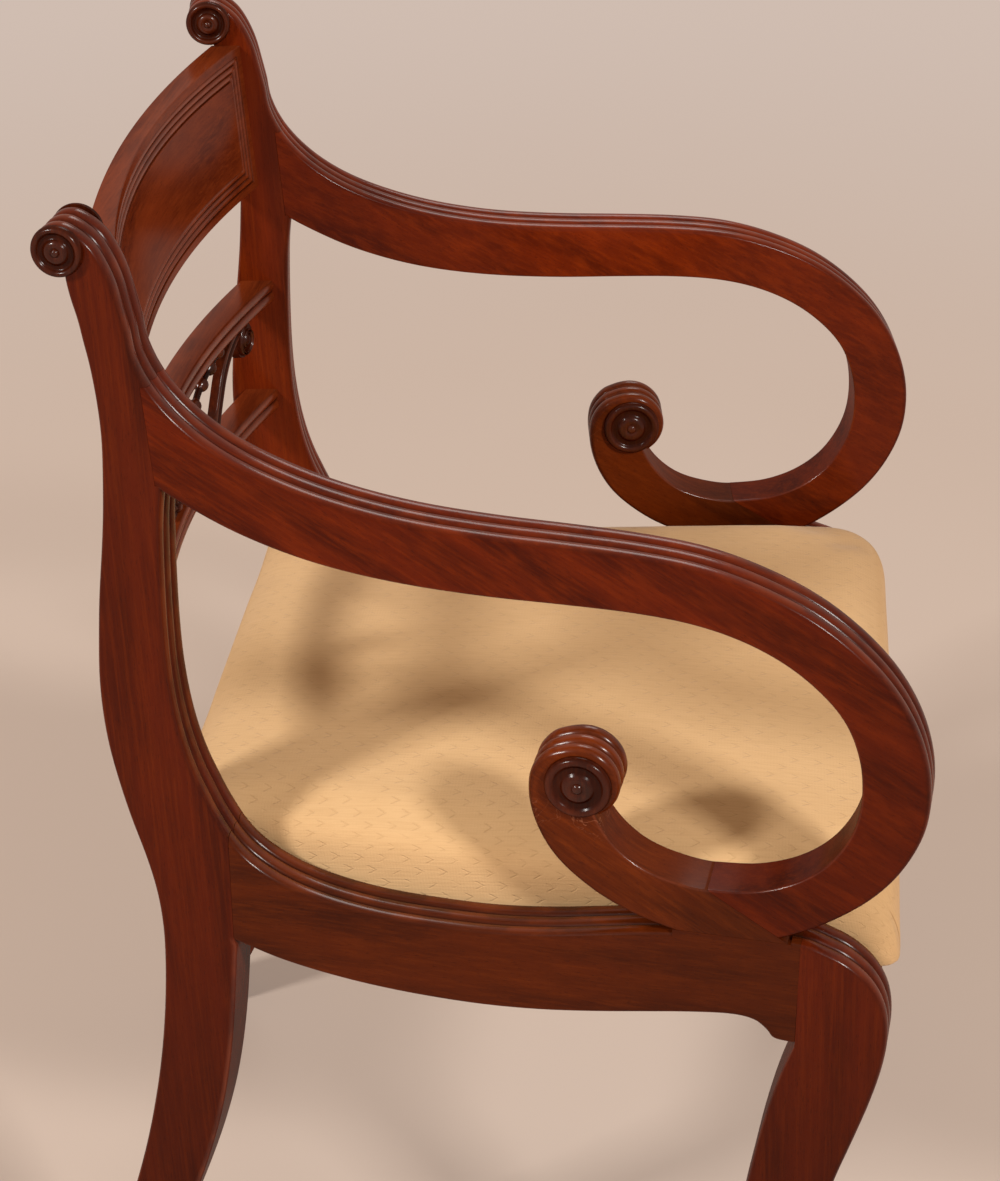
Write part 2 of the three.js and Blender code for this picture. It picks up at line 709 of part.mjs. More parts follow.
// Half the width between the inner faces, at a distance behind the rails' rear shoulders.
function innerHalf(back) {
  return backHalfWidth - sideThickness / Math.cos(splay) - back * Math.tan(splay);
}

// Takes a geometry from a side's plane to its place, for either side.
function sideMatrix(side) {
  const spread = new THREE.Matrix4().makeTranslation(side * backHalfWidth, 0, 0);
  return spread.multiply(new THREE.Matrix4().makeRotationZ(side * splay));
}

function placedBlock(side, inwardFrom, inwardTo, runFrom, runTo, riseFrom, riseTo) {
  const low = side > 0 ? -inwardTo : inwardFrom;
  const high = side > 0 ? -inwardFrom : inwardTo;
  const geometry = block(new THREE.Vector3(low, -runTo, riseFrom), new THREE.Vector3(high, -runFrom, riseTo));
  return solidOf(geometry.applyMatrix4(sideMatrix(side)));
}

// Trims a spanning piece to the inner faces and gives it its two tenons.
function fitted(blank, name) {
  const [run, rise, width, height] = spans[name];
  let body = blank;
  for (const side of [-1, 1]) {
    const beyond = placedBlock(
      side, -blankReach, sideThickness + jointGap, -blankReach, blankReach, -overrun, uprightHeight + overrun,
    );
    const tenon = placedBlock(
      side, sideThickness - crossTenonLength, sideThickness + overrun,
      run - width / 2, run + width / 2, rise - height / 2, rise + height / 2,
    );
    body = body.subtract(beyond).add(tenon);
  }
  return body;
}

// Distances from an edge of the crest at which its border changes, and how deep it is there.
function crestBorder() {
  const lines = [[0, crestGroove]];
  for (let strip = 0; strip < reedCount; strip++) {
    lines.push([(strip + 0.5) * crestStrip, 0]);
    lines.push([(strip + 1) * crestStrip, crestGroove]);
  }
  lines.push([reedCount * crestStrip + crestFillet, 0]);
  return lines;
}

function makeCrest() {
  const border = crestBorder();
  const half = innerHalf(crestTopSetback);
  const reach = (x) => 1 - (x / half) ** 2;
  const inner = [0.62, 0.42, 0.21].map((share) => share * half);
  const positive = [half + overrun, ...border.map(([d]) => half - d), ...inner];
  const places = [...positive, 0, ...positive.map((x) => -x).reverse()];
  const rises = [...border.map(([d]) => crestBottom + d), ...border.map(([d]) => crestTop - d).reverse()];
  const sinkAt = (d) => {
    const line = border.find(([at]) => Math.abs(at - d) < arris / 2);
    return line ? line[1] : 0;
  };
  const rings = places.map((x) => {
    const front = (rise) => {
      const share = (rise - crestBottom) / (crestTop - crestBottom);
      return crestBottomSetback + (crestTopSetback - crestBottomSetback) * share + crestBow * reach(x);
    };
    const thickness = crestEndThickness + (crestMidThickness - crestEndThickness) * reach(x);
    const ring = rises.map((rise) => {
      const edge = Math.min(rise - crestBottom, crestTop - rise, Math.max(half - Math.abs(x), 0));
      return new THREE.Vector3(x, front(rise) + sinkAt(edge), rise);
    });
    ring.push(new THREE.Vector3(x, front(crestTop) + thickness, crestTop));
    ring.push(new THREE.Vector3(x, front(crestBottom) + thickness, crestBottom));
    return ring;
  });
  const middle = (places.length - 1) / 2;
  const turned = (k, i) => i < rises.length - 1 && k < middle === i < rises.length / 2;
  return fitted(solidOf(skin(rings, turned)), "crest");
}

// How far back the cross rails' front stands at a place across the back.
function crossFront(x) {
  return crossRailSetback + crossRailBow * (1 - (x / innerHalf(crossRailSetback)) ** 2);
}

function makeCrossRail(top, name) {
  const half = innerHalf(crossRailSetback) + overrun;
  const bottom = top - crossRailHeight;
  const rings = [1, 0.8, 0.6, 0.4, 0.2, 0, -0.2, -0.4, -0.6, -0.8, -1].map((share) => {
    const x = share * half;
    const front = crossFront(x);
    const depth = crossRailEndDepth + (crossRailMidDepth - crossRailEndDepth) * (1 - share * share);
    const ring = [];
    const stepCount = 2 * reedStepCount;
    for (let step = 0; step <= stepCount; step++) {
      const within = (step % reedStepCount) / reedStepCount;
      const sink = crossRailGroove * (1 - Math.sin(Math.PI * within));
      ring.push(new THREE.Vector3(x, front + sink, bottom + (step / stepCount) * crossRailHeight));
    }
    ring.push(new THREE.Vector3(x, front + depth, top));
    ring.push(new THREE.Vector3(x, front + depth, bottom));
    return ring;
  });
  return fitted(solidOf(skin(rings)), name);
}

// Bends a flat geometry, whose depth starts at zero, onto the bow of the back.
function bowed(geometry) {
  const position = geometry.attributes.position;
  for (let i = 0; i < position.count; i++) {
    position.setY(i, position.getY(i) + crossFront(position.getX(i)) + lyreSetback);
  }
  return geometry;
}

// A ribbon along a middle line. A groove, where it has one, runs down its face between eased edges.
function ribbon(line, widthAt, thickness, groove, ringCount) {
  const rings = [];
  for (let k = 0; k < ringCount; k++) {
    const at = k / (ringCount - 1);
    const p = line.getPoint(at);
    const along = line.getTangent(at);
    const half = widthAt(at) / 2;
    const point = (share, depth) =>
      new THREE.Vector3(p.x - along.y * half * share, depth, p.y + along.x * half * share);
    const grooved = [point(-1, groove), point(-0.6, 0), point(0, groove), point(0.6, 0), point(1, groove)];
    const face = groove ? grooved : [point(-1, 0), point(1, 0)];
    rings.push([point(-1, thickness), ...face, point(1, thickness)]);
  }
  return skin(rings);
}

const lyreLow = lowerRailTop + jointGap;
const lyreHigh = upperRailTop - crossRailHeight - jointGap;
const lyreRise = lyreHigh - lyreLow;
const lyrePlace = (across, rise) => new THREE.Vector2(across * lyreSpan, lyreLow + rise * lyreRise);
const lyreSpace = bowedSpace();

// The space between the cross rails that the lyre may fill.
function bowedSpace() {
  return solidOf(
    block(
      new THREE.Vector3(-blankReach, -blankReach, lyreLow),
      new THREE.Vector3(blankReach, blankReach, lyreHigh),
    ),
  );
}

// Outer arm of the lyre: a volute whose stem sweeps down to a foot on the lower rail.
function makeLyreArm(side) {
  const centre = new THREE.Vector2(voluteSide, lyreHigh + jointGap - voluteRadius);
  const disc = bar(
    new THREE.Vector3(centre.x, lyreRelief, centre.y),
    new THREE.Vector3(centre.x, lyreThickness, centre.y),
    voluteRadius,
    voluteSideCount,
  );
  const eye = bar(
    new THREE.Vector3(centre.x, -lyreRelief / 2, centre.y),
    new THREE.Vector3(centre.x, lyreRelief * 2, centre.y),
    voluteEyeRadius,
    stringSideCount,
  );
  const turns = [];
  for (let step = 0; step <= voluteSideCount; step++) {
    const share = step / voluteSideCount;
    const angle = Math.PI * (0.62 - 2.3 * share);
    const radius = (voluteRadius - voluteRibbon / 2) * (1 - 0.42 * share);
    turns.push(new THREE.Vector2(centre.x + radius * Math.cos(angle), centre.y + radius * Math.sin(angle)));
  }
  const curl = new THREE.SplineCurve(turns);
  const coil = ribbon(curl, () => voluteRibbon, 2 * lyreRelief, lyreRelief / 3, stemRingCount);
  const stemLine = new THREE.SplineCurve(stemShares.map(([across, rise]) => lyrePlace(across, rise)));
  const widths = new THREE.SplineCurve(stemWidthShares.map((share, i) => new THREE.Vector2(i, share)));
  const stem = ribbon(
    stemLine,
    (at) => widths.getPoint(at).y * lyreStemWidth,
    lyreThickness,
    lyreGroove,
    stemRingCount,
  );
  const parts = [disc, eye, coil, stem].map((geometry) => {
    geometry.scale(side, 1, 1);
    return solidOf(bowed(geometry));
  });
  const whole = parts.reduce((sum, part) => sum.add(part));
  return mainBody(whole.intersect(lyreSpace));
}

// A row of pearls on a thin strand.
function makePearls(side) {
  const line = new THREE.SplineCurve(strandShares.map(([across, rise]) => lyrePlace(across, rise)));
  const strand = ribbon(line, () => strandWidth, strandThickness, 0, strandRingCount);
  strand.translate(0, lyreThickness / 2 - strandThickness / 2, 0);
  strand.scale(side, 1, 1);
  let body = solidOf(bowed(strand));
  for (let pearl = 0; pearl < pearlCount; pearl++) {
    const at = line.getPointAt((pearl + 0.9) / (pearlCount + 0.8));
    const ball = new THREE.SphereGeometry(pearlRadius, pearlSideCount, pearlSideCount - 2);
    ball.translate(side * at.x, lyreThickness / 2, at.y);
    body = body.add(solidOf(bowed(ball)));
  }
  const bossEdge = block(
    new THREE.Vector3(-bossHalfWidth - jointGap, -blankReach, lyreLow),
    new THREE.Vector3(bossHalfWidth + jointGap, blankReach, lyreHigh),
  );
  const arm = makeLyreArm(side);
  return mainBody(body.intersect(lyreSpace).subtract(solidOf(bossEdge)).subtract(arm));
}

// Half-round boss in the middle of the lower rail.
function makeBoss() {
  const outline = [];
  for (let step = 0; step <= bossStepCount; step++) {
    const angle = (Math.PI * step) / bossStepCount;
    outline.push(new THREE.Vector2(bossHalfWidth * Math.cos(angle), bossShare * lyreRise * Math.sin(angle)));
  }
  const geometry = new THREE.ExtrudeGeometry(new THREE.Shape(outline), {
    depth: bossThickness,
    bevelEnabled: false,
    curveSegments: 1,
  });
  geometry.rotateX(Math.PI / 2);
  geometry.translate(0, bossThickness - (bossThickness - lyreThickness) / 2, lyreLow);
  let body = solidOf(bowed(geometry));
  for (const place of [-1, 0, 1]) body = body.subtract(makeString(place, jointGap));
  return mainBody(body);
}

// A string from the boss up to the upper rail.
function makeString(place, gap = 0) {
  const x = place * stringSpacing;
  const depth = crossFront(x) + lyreSetback + lyreThickness / 2;
  return solidOf(
    bar(
      new THREE.Vector3(x, depth, lyreHigh - stringShare * lyreRise - gap),
      new THREE.Vector3(x, depth, lyreHigh),
      stringRadius + gap,
      stringSideCount,
    ),
  );
}

function makeSpanningRail(front, depth, name) {
  const reach = frontHalfWidth;
  let body = solidOf(
    block(
      new THREE.Vector3(-reach, front, crossTimberBottom),
      new THREE.Vector3(reach, front + depth, seatPlane),
    ),
  );
  body = fitted(body, name);
  for (const side of [-1, 1]) body = body.subtract(railScrew(side, name, jointGap));
  return body;
}

// Corner blocks. Each fills the corner between a seat rail's inner face and a side's inner face.
function cornerOf(name) {
  const forward = name === "rear" ? -1 : 1;
  const face = name === "rear" ? rearRailFront : -(frontRailFront - frontRailDepth);
  return { forward, face };
}

function makeCornerBlock(side, name) {
  const { forward, face } = cornerOf(name);
  const start = face + forward * jointGap;
  const end = face + forward * blockLeg;
  const edge = (back) => innerHalf(back) - jointGap / Math.cos(splay);
  const outline = [
    [edge(start), start], [edge(end), end], [edge(end) - blockNose, end],
    [edge(start) - blockLeg, start + forward * blockNose], [edge(start) - blockLeg, start],
  ].map(([x, y]) => new THREE.Vector2(side * x, y));
  let body = solidOf(prism(outline, seatPlane - blockHeight, seatPlane));
  body = body.subtract(railScrew(side, name, jointGap)).subtract(sideScrew(side, name, jointGap));
  return mainBody(body);
}

// A screw with its head sunk in the block. from is under the head, and inwards is the way it is driven.
function blockScrew(from, inwards, length, gap) {
  const reach = gap ? blockLeg : blockScrewHeadHeight;
  const top = from.clone().addScaledVector(inwards, -reach);
  const under = from.clone().addScaledVector(inwards, gap);
  const tip = from.clone().addScaledVector(inwards, length + gap);
  const head = bar(top, under, blockScrewHeadRadius + gap, screwSideCount);
  const neck = from.clone().addScaledVector(inwards, -blockScrewHeadHeight / 2);
  const shank = bar(neck, tip, blockScrewRadius + gap, screwSideCount);
  return solidOf(head).add(solidOf(shank));
}

function railScrew(side, name, gap) {
  const { forward, face } = cornerOf(name);
  const deep = blockLeg - blockScrewOffset - blockScrewSink;
  const x = side * (innerHalf(face) - blockScrewOffset);
  const from = new THREE.Vector3(x, face + forward * deep, seatRailMiddle);
  return blockScrew(from, new THREE.Vector3(0, -forward, 0), deep + blockScrewBite, gap);
}

function sideScrew(side, name, gap) {
  const run = name === "rear"
    ? blockScrewOffset / Math.cos(splay) - rearRailFront
    : frontRailFront - frontRailDepth - blockScrewOffset;
  const deep = blockLeg - blockScrewOffset - blockScrewSink;
  const place = new THREE.Vector3(-side * (sideThickness + deep), -run, seatRailMiddle);
  place.applyMatrix4(sideMatrix(side));
  const inwards = new THREE.Vector3(side, 0, 0).applyAxisAngle(new THREE.Vector3(0, 0, 1), side * splay);
  return blockScrew(place, inwards, deep + blockScrewBite, gap);
}

function makeLedge(side) {
  return placedBlock(
    side, sideThickness + jointGap, sideThickness + jointGap + ledgeWidth,
    ledgeStart, ledgeEnd, seatPlane - ledgeHeight, seatPlane,
  );
}

// The drop-in seat.

// The seat's outline in plan, drawn in by an inset, as a ring of points that match from ring to ring.
function seatOutline(inset) {
  const edge = (back) => innerHalf(back) - (seatClearance + inset) / Math.cos(splay);
  const back = seatRear - inset;
  const front = -(seatFront - inset);
  const corners = [
    [new THREE.Vector2(edge(back), back), Math.max(seatRearCorner - inset, arris)],
    [new THREE.Vector2(-edge(back), back), Math.max(seatRearCorner - inset, arris)],
    [new THREE.Vector2(-edge(front), front), Math.max(seatFrontCorner - inset, arris)],
    [new THREE.Vector2(edge(front), front), Math.max(seatFrontCorner - inset, arris)],
  ];
  const points = [];
  corners.forEach(([corner, radius], i) => {
    const before = corners[(i + corners.length - 1) % corners.length][0];
    const after = corners[(i + 1) % corners.length][0];
    const a = new THREE.Vector2().subVectors(before, corner).normalize();
    const b = new THREE.Vector2().subVectors(after, corner).normalize();
    const half = Math.acos(a.dot(b)) / 2;
    const tangent = radius / Math.tan(half);
    const middle = new THREE.Vector2().addVectors(a, b).normalize();
    middle.multiplyScalar(radius / Math.sin(half)).add(corner);
    const start = corner.clone().addScaledVector(a, tangent).sub(middle);
    const turn = Math.PI - 2 * half;
    for (let step = 0; step <= cornerStepCount; step++) {
      const angle = (turn * step) / cornerStepCount;
      points.push(start.clone().rotateAround(new THREE.Vector2(), angle).add(middle));
    }
    const leave = points[points.length - 1];
    const nextRadius = corners[(i + 1) % corners.length][1];
    const next = corners[(i + 1) % corners.length][0];
    const farther = corners[(i + 2) % corners.length][0];
    const c = new THREE.Vector2().subVectors(corner, next).normalize();
    const d = new THREE.Vector2().subVectors(farther, next).normalize();
    const arrive = next.clone().addScaledVector(c, nextRadius / Math.tan(Math.acos(c.dot(d)) / 2));
    for (let step = 1; step < sideStepCount; step++) {
      points.push(leave.clone().lerp(arrive, step / sideStepCount));
    }
  });
  return points;
}

const seatBase = seatPlane + jointGap;
const barBottom = seatBase + padLip + jointGap;
const barTop = barBottom + seatBarHeight;
const webBottom = barTop + jointGap;
const clothBottom = webBottom + webThickness + jointGap;
const padBottom = clothBottom + clothThickness + jointGap;

function makePad() {
  const rings = padShares.map(([inset, height]) =>
    seatOutline(inset * padRoll).map((p) => new THREE.Vector3(p.x, p.y, seatBase + height * padEdge)),
  );
  const roll = rings[rings.length - 1];
  const centre = new THREE.Vector3(0, (seatRear - seatFront) / 2, roll[0].z);
  for (let ring = 1; ring < crownRingCount; ring++) {
    const share = 1 - ring / crownRingCount;
    rings.push(
      roll.map((p) => {
        const q = centre.clone().lerp(p, share);
        const across = q.x / innerHalf(q.y);
        const lengthwise = (q.y - centre.y) / ((seatRear + seatFront) / 2);
        q.z = p.z + padCrown * (1 - across ** 2) * (1 - lengthwise ** 2);
        return q;
      }),
    );
  }
  let body = solidOf(skin(rings));
  const recess = prism(seatOutline(padWall - jointGap), seatBase + padLip, padBottom);
  const mouth = prism(seatOutline(padWall + padLipWidth), seatBase - overrun, seatBase + padLip + overrun);
  body = body.subtract(solidOf(recess)).subtract(solidOf(mouth));
  return mainBody(body);
}

function seatFrameRing() {
  const outer = solidOf(prism(seatOutline(padWall), barBottom, barTop));
  const inner = solidOf(prism(seatOutline(padWall + seatBarWidth), barBottom - overrun, barTop + overrun));
  return outer.subtract(inner);
}

// Height and place of the tongues at the ends of the frame's side bars.
function barTenons(side, gap) {
  const middle = (barBottom + barTop) / 2;
  const bars = [
    [seatRear - padWall - seatBarWidth, 1],
    [-(seatFront - padWall - seatBarWidth), -1],
  ];
  return bars.map(([face, way]) => {
    const x = side * (innerHalf(face) - seatClearance - padWall - seatBarWidth / 2);
    const from = face - way * overrun;
    const to = face + way * (seatBarTenonLength + gap);
    const half = seatBarTenonWidth / 2 + gap;
    const rise = seatBarTenonHeight / 2 + gap;
    return solidOf(
      block(
        new THREE.Vector3(x - half, Math.min(from, to), middle - rise),
        new THREE.Vector3(x + half, Math.max(from, to), middle + rise),
      ),
    );
  });
}

function seatSlice(fromX, toX, fromY, toY) {
  return solidOf(block(new THREE.Vector3(fromX, fromY, 0), new THREE.Vector3(toX, toY, uprightHeight)));
}

function makeSeatBar(name) {
  const rearFace = seatRear - padWall - seatBarWidth;
  const frontFace = -(seatFront - padWall - seatBarWidth);
  const ring = seatFrameRing();
  const cutters = (gap) => [-1, 1].flatMap((side) => barTenons(side, gap));
  if (name === "rear") {
    let body = ring.intersect(seatSlice(-blankReach, blankReach, rearFace, blankReach));
    for (const cutter of cutters(jointGap)) body = body.subtract(cutter);
    return mainBody(body);
  }
  if (name === "front") {
    let body = ring.intersect(seatSlice(-blankReach, blankReach, -blankReach, frontFace));
    for (const cutter of cutters(jointGap)) body = body.subtract(cutter);
    return mainBody(body);
  }
  const side = name === "left" ? 1 : -1;
  const low = side > 0 ? 0 : -blankReach;
  const slice = seatSlice(low, low + blankReach, frontFace + jointGap, rearFace - jointGap);
  let body = mainBody(ring.intersect(slice));
  for (const tongue of barTenons(side, 0)) body = body.add(tongue);
  return body;
}

// Webbing: one lattice of flat bands over the frame.
function makeWebbing() {
  const back = seatRear - padWall - webMargin;
  const front = -(seatFront - padWall - webMargin);
  const bands = [];
  for (let i = 0; i < webLengthwiseCount; i++) {
    const x = (i - (webLengthwiseCount - 1) / 2) * webSpacing;
    bands.push(
      block(
        new THREE.Vector3(x - webWidth / 2, front, webBottom),
        new THREE.Vector3(x + webWidth / 2, back, webBottom + webThickness),
      ),
    );
  }
  for (let i = 0; i < webCrosswiseCount; i++) {
    const y = (front + back) / 2 + (i - (webCrosswiseCount - 1) / 2) * webSpacing;
    const half = innerHalf(y) - seatClearance - padWall - 2 * webMargin;
    bands.push(
      block(
        new THREE.Vector3(-half, y - webWidth / 2, webBottom),
        new THREE.Vector3(half, y + webWidth / 2, webBottom + webThickness),
      ),
    );
  }
  return bands.map(solidOf).reduce((sum, band) => sum.add(band));
}

function makeHessian() {
  return solidOf(prism(seatOutline(padWall + webMargin / 2), clothBottom, clothBottom + clothThickness));
}

function makeBaseCloth() {
  const bottom = seatBase + jointGap;
  return solidOf(prism(seatOutline(padWall + padLipWidth + jointGap), bottom, bottom + baseClothThickness));
}

// The assembly.

const looks = {
  mahogany: { color: 0x7a3018, roughness: 0.28, metalness: 0 },
  moulding: { color: 0x6b2814, roughness: 0.25, metalness: 0 },
  beech: { color: 0xc39a66, roughness: 0.7, metalness: 0 },
  fabric: { color: 0xd3a877, roughness: 0.85, metalness: 0 },
  jute: { color: 0x9b8058, roughness: 0.95, metalness: 0 },
  cloth: { color: 0x2a2725, roughness: 0.95, metalness: 0 },
  steel: { color: 0x8d8f92, roughness: 0.4, metalness: 1 },
};

function node(name, solid, look) {
  const mesh = new THREE.Mesh(geometryOf(solid), new THREE.MeshStandardMaterial(looks[look]));
  mesh.name = name;
  return mesh;
}

const chair = new THREE.Group();

const sidePieces = [
  ["upright", makeUpright(), "mahogany"],
  ["arm", makeArm(), "mahogany"],
  ["arm_scroll", makeArmScroll(), "mahogany"],
  ["side_rail", makeSideRail(), "mahogany"],
  ["front_leg", makeFrontLeg(), "mahogany"],
  ["top_roundel_outer", makeRoundel(topScroll, topRoundelRadius, true), "moulding"],
  ["top_roundel_inner", makeRoundel(topScroll, topRoundelRadius, false), "moulding"],
  ["arm_roundel_outer", makeRoundel(armScroll, armRoundelRadius, true), "moulding"],
  ["arm_roundel_inner", makeRoundel(armScroll, armRoundelRadius, false), "moulding"],
  ["arm_screw", armScrew(0), "steel"],
  ["scarf_dowel", dowel(0), "beech"],
];

for (const side of [1, -1]) {
  const hand = side > 0 ? "left" : "right";
  const frame = new THREE.Group();
  frame.position.x = side * backHalfWidth;
  frame.rotation.z = side * splay;
  frame.scale.x = side;
  for (const [name, solid, look] of sidePieces) frame.add(node(hand + "_" + name, solid, look));
  chair.add(frame);
  chair.add(node(hand + "_seat_ledge", makeLedge(side), "beech"));
  chair.add(node(hand + "_lyre_arm", makeLyreArm(side), "moulding"));
  chair.add(node(hand + "_pearl_strand", makePearls(side), "moulding"));
  for (const place of ["rear", "front"]) {
    chair.add(node(hand + "_" + place + "_corner_block", makeCornerBlock(side, place), "beech"));
    chair.add(node(hand + "_" + place + "_rail_screw", railScrew(side, place, 0), "steel"));
    chair.add(node(hand + "_" + place + "_side_screw", sideScrew(side, place, 0), "steel"));
  }
  chair.add(node("seat_frame_" + hand + "_bar", makeSeatBar(hand), "beech"));
}

chair.add(node("crest_rail", makeCrest(), "mahogany"));
chair.add(node("upper_cross_rail", makeCrossRail(upperRailTop, "upper"), "mahogany"));
chair.add(node("lower_cross_rail", makeCrossRail(lowerRailTop, "lower"), "mahogany"));
chair.add(node("lyre_boss", makeBoss(), "moulding"));
["right", "centre", "left"].forEach((hand, i) => {
  chair.add(node("lyre_string_" + hand, makeString(i - 1), "moulding"));
});
chair.add(node("front_rail", makeSpanningRail(-frontRailFront, frontRailDepth, "front"), "mahogany"));
chair.add(node("rear_rail", makeSpanningRail(rearRailFront, rearRailDepth, "rear"), "mahogany"));
chair.add(node("seat_frame_front_bar", makeSeatBar("front"), "beech"));
chair.add(node("seat_frame_rear_bar", makeSeatBar("rear"), "beech"));
chair.add(node("seat_webbing", makeWebbing(), "jute"));
chair.add(node("seat_hessian", makeHessian(), "jute"));
chair.add(node("seat_pad", makePad(), "fabric"));
chair.add(node("seat_base_cloth", makeBaseCloth(), "cloth"));

// The middle of the chair's footprint is the origin, with the floor at zero.
chair.updateMatrixWorld(true);
const bounds = new THREE.Box3().setFromObject(chair, true);
const footprint = bounds.getCenter(new THREE.Vector3());
chair.position.set(-footprint.x, -footprint.y, 0);

const scene = new THREE.Group();
scene.add(chair);

export default scene;
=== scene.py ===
# An armchair in polished mahogany, with reeded arms that scroll down to the seat rails, sabre legs, a
# bowed crest, a lyre between two cross rails and an upholstered seat that drops in. Places and sizes are
# in metres: the sitter faces -Y, and left and right are the sitter's own.
from math import asin, atan2, cos, pi, radians, sin, sqrt

import bmesh
import bpy
from mathutils import Matrix, Vector


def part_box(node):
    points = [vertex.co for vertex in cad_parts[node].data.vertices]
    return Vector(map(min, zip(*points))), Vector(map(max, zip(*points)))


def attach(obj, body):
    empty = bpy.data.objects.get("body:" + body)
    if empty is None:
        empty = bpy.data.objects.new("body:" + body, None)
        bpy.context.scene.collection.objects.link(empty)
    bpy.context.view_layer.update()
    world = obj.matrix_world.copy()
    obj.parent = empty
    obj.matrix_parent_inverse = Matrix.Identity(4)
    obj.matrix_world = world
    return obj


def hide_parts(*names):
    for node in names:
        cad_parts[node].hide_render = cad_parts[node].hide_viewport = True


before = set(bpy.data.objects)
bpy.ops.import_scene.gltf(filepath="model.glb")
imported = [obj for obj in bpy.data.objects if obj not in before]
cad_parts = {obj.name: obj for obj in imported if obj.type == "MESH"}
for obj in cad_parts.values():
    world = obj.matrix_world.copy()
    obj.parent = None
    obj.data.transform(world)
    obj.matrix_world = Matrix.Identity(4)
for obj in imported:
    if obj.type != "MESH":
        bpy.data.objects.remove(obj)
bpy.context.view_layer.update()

# Camera: it stands at the sitter's right, a little behind the middle of the seat, and looks down on the
# chair through a longish lens.
camera_place = Vector((-1.599, -0.1655, 1.4))
camera_heading, camera_dip = 0.0973, 0.5052
ahead = Vector((
    cos(camera_heading) * cos(camera_dip),
    sin(camera_heading) * cos(camera_dip),
    -sin(camera_dip),
))
aside = Vector((sin(camera_heading), -cos(camera_heading), 0))
lens = bpy.data.cameras.new("lens")
lens.sensor_fit = "AUTO"
lens.sensor_width = 36
lens.lens = 83.42
camera = bpy.data.objects.new("camera", lens)
camera.matrix_world = Matrix.Translation(camera_place) @ Matrix(
    (aside, aside.cross(ahead), -ahead)
).transposed().to_4x4()
bpy.context.scene.collection.objects.link(camera)
bpy.context.scene.camera = camera

# Studio: a plain pale floor that runs out into an even backdrop of its own colour, two soft lamps left
# and right of the camera, a large weak one beyond the chair, and a little light from all round.
scene = bpy.context.scene
scene.view_settings.view_transform = "Standard"
seat_middle = Vector((0, -0.05, 0.46))
lamp_reach, lamp_white = 5.5, (1, 0.97, 0.93)
backdrop_hex, air_hex = "#d0bdb1", "#ffd2a6"


def tint(code):
    """A colour written the way a screen shows it, as the linear one that a shader takes."""
    channels = [int(code[i:i + 2], 16) / 255 for i in (1, 3, 5)]
    return (*(c / 12.92 if c < 0.04045 else ((c + 0.055) / 1.055) ** 2.4 for c in channels), 1)


def new_material(name):
    material = bpy.data.materials.new(name)
    material.use_nodes = True
    material.node_tree.nodes.clear()
    return material, material.node_tree


def add(tree, kind, inputs, **settings):
    """Adds one node with its settings, and gives its outputs. An input is a value or another's output."""
    node = tree.nodes.new("ShaderNode" + kind)
    for name, value in settings.items():
        setattr(node, name, value)
    for name, value in inputs.items():
        if isinstance(value, bpy.types.NodeSocket):
            tree.links.new(value, node.inputs[name])
        else:
            node.inputs[name].default_value = value
    return node.outputs


# Seamless paper, matt and pale: only a faint mottle shows, some 0.8 m across. Away from the chair it is
# seen, and mirrored, in the backdrop's even colour.
floor_paper, tree = new_material("pale studio paper")
place = add(tree, "TexCoord", {})["Object"]
mottle = add(tree, "TexNoise", {"Vector": place, "Scale": 1.3, "Detail": 3})["Fac"]
shade = add(
    tree, "Mix", {"Factor": mottle, "A": tint("#ccb8a9"), "B": tint("#d4c3b6")}, data_type="RGBA"
)["Result"]
paper = add(tree, "BsdfPrincipled", {"Base Color": shade, "Roughness": 0.9})[0]
even = add(tree, "Emission", {"Color": tint(backdrop_hex), "Strength": 1})[0]
off_chair = add(tree, "VectorMath", {0: place}, operation="LENGTH")["Value"]
far = add(
    tree, "MapRange", {"Value": off_chair, "From Min": 0.8, "From Max": 3.2, "To Min": 0.3, "To Max": 1},
    interpolation_type="SMOOTHSTEP",
)[0]
way = add(tree, "LightPath", {})
looked_at = add(tree, "Math", {0: way["Is Camera Ray"], 1: way["Is Glossy Ray"]}, operation="MAXIMUM")[0]
evened = add(tree, "Math", {0: far, 1: looked_at}, operation="MULTIPLY")[0]
add(tree, "OutputMaterial", {"Surface": add(tree, "MixShader", {"Fac": evened, 1: paper, 2: even})[0]})
bm = bmesh.new()
bmesh.ops.create_circle(bm, cap_ends=True, radius=12, segments=96)
mesh = bpy.data.meshes.new("studio_floor")
bm.to_mesh(mesh)
bm.free()
mesh.materials.append(floor_paper)
floor = bpy.data.objects.new("studio_floor", mesh)
scene.collection.objects.link(floor)

scene.world = bpy.data.worlds.new("studio")
scene.world.use_nodes = True
tree = scene.world.node_tree
tree.nodes.clear()
way = add(tree, "LightPath", {})
looked_at = add(tree, "Math", {0: way["Is Camera Ray"], 1: way["Is Glossy Ray"]}, operation="MAXIMUM")[0]
air = add(tree, "Background", {"Color": tint(air_hex), "Strength": 0.27})[0]
horizon = add(tree, "Background", {"Color": tint(backdrop_hex), "Strength": 1})[0]
add(tree, "OutputWorld", {"Surface": add(tree, "MixShader", {"Fac": looked_at, 1: air, 2: horizon})[0]})

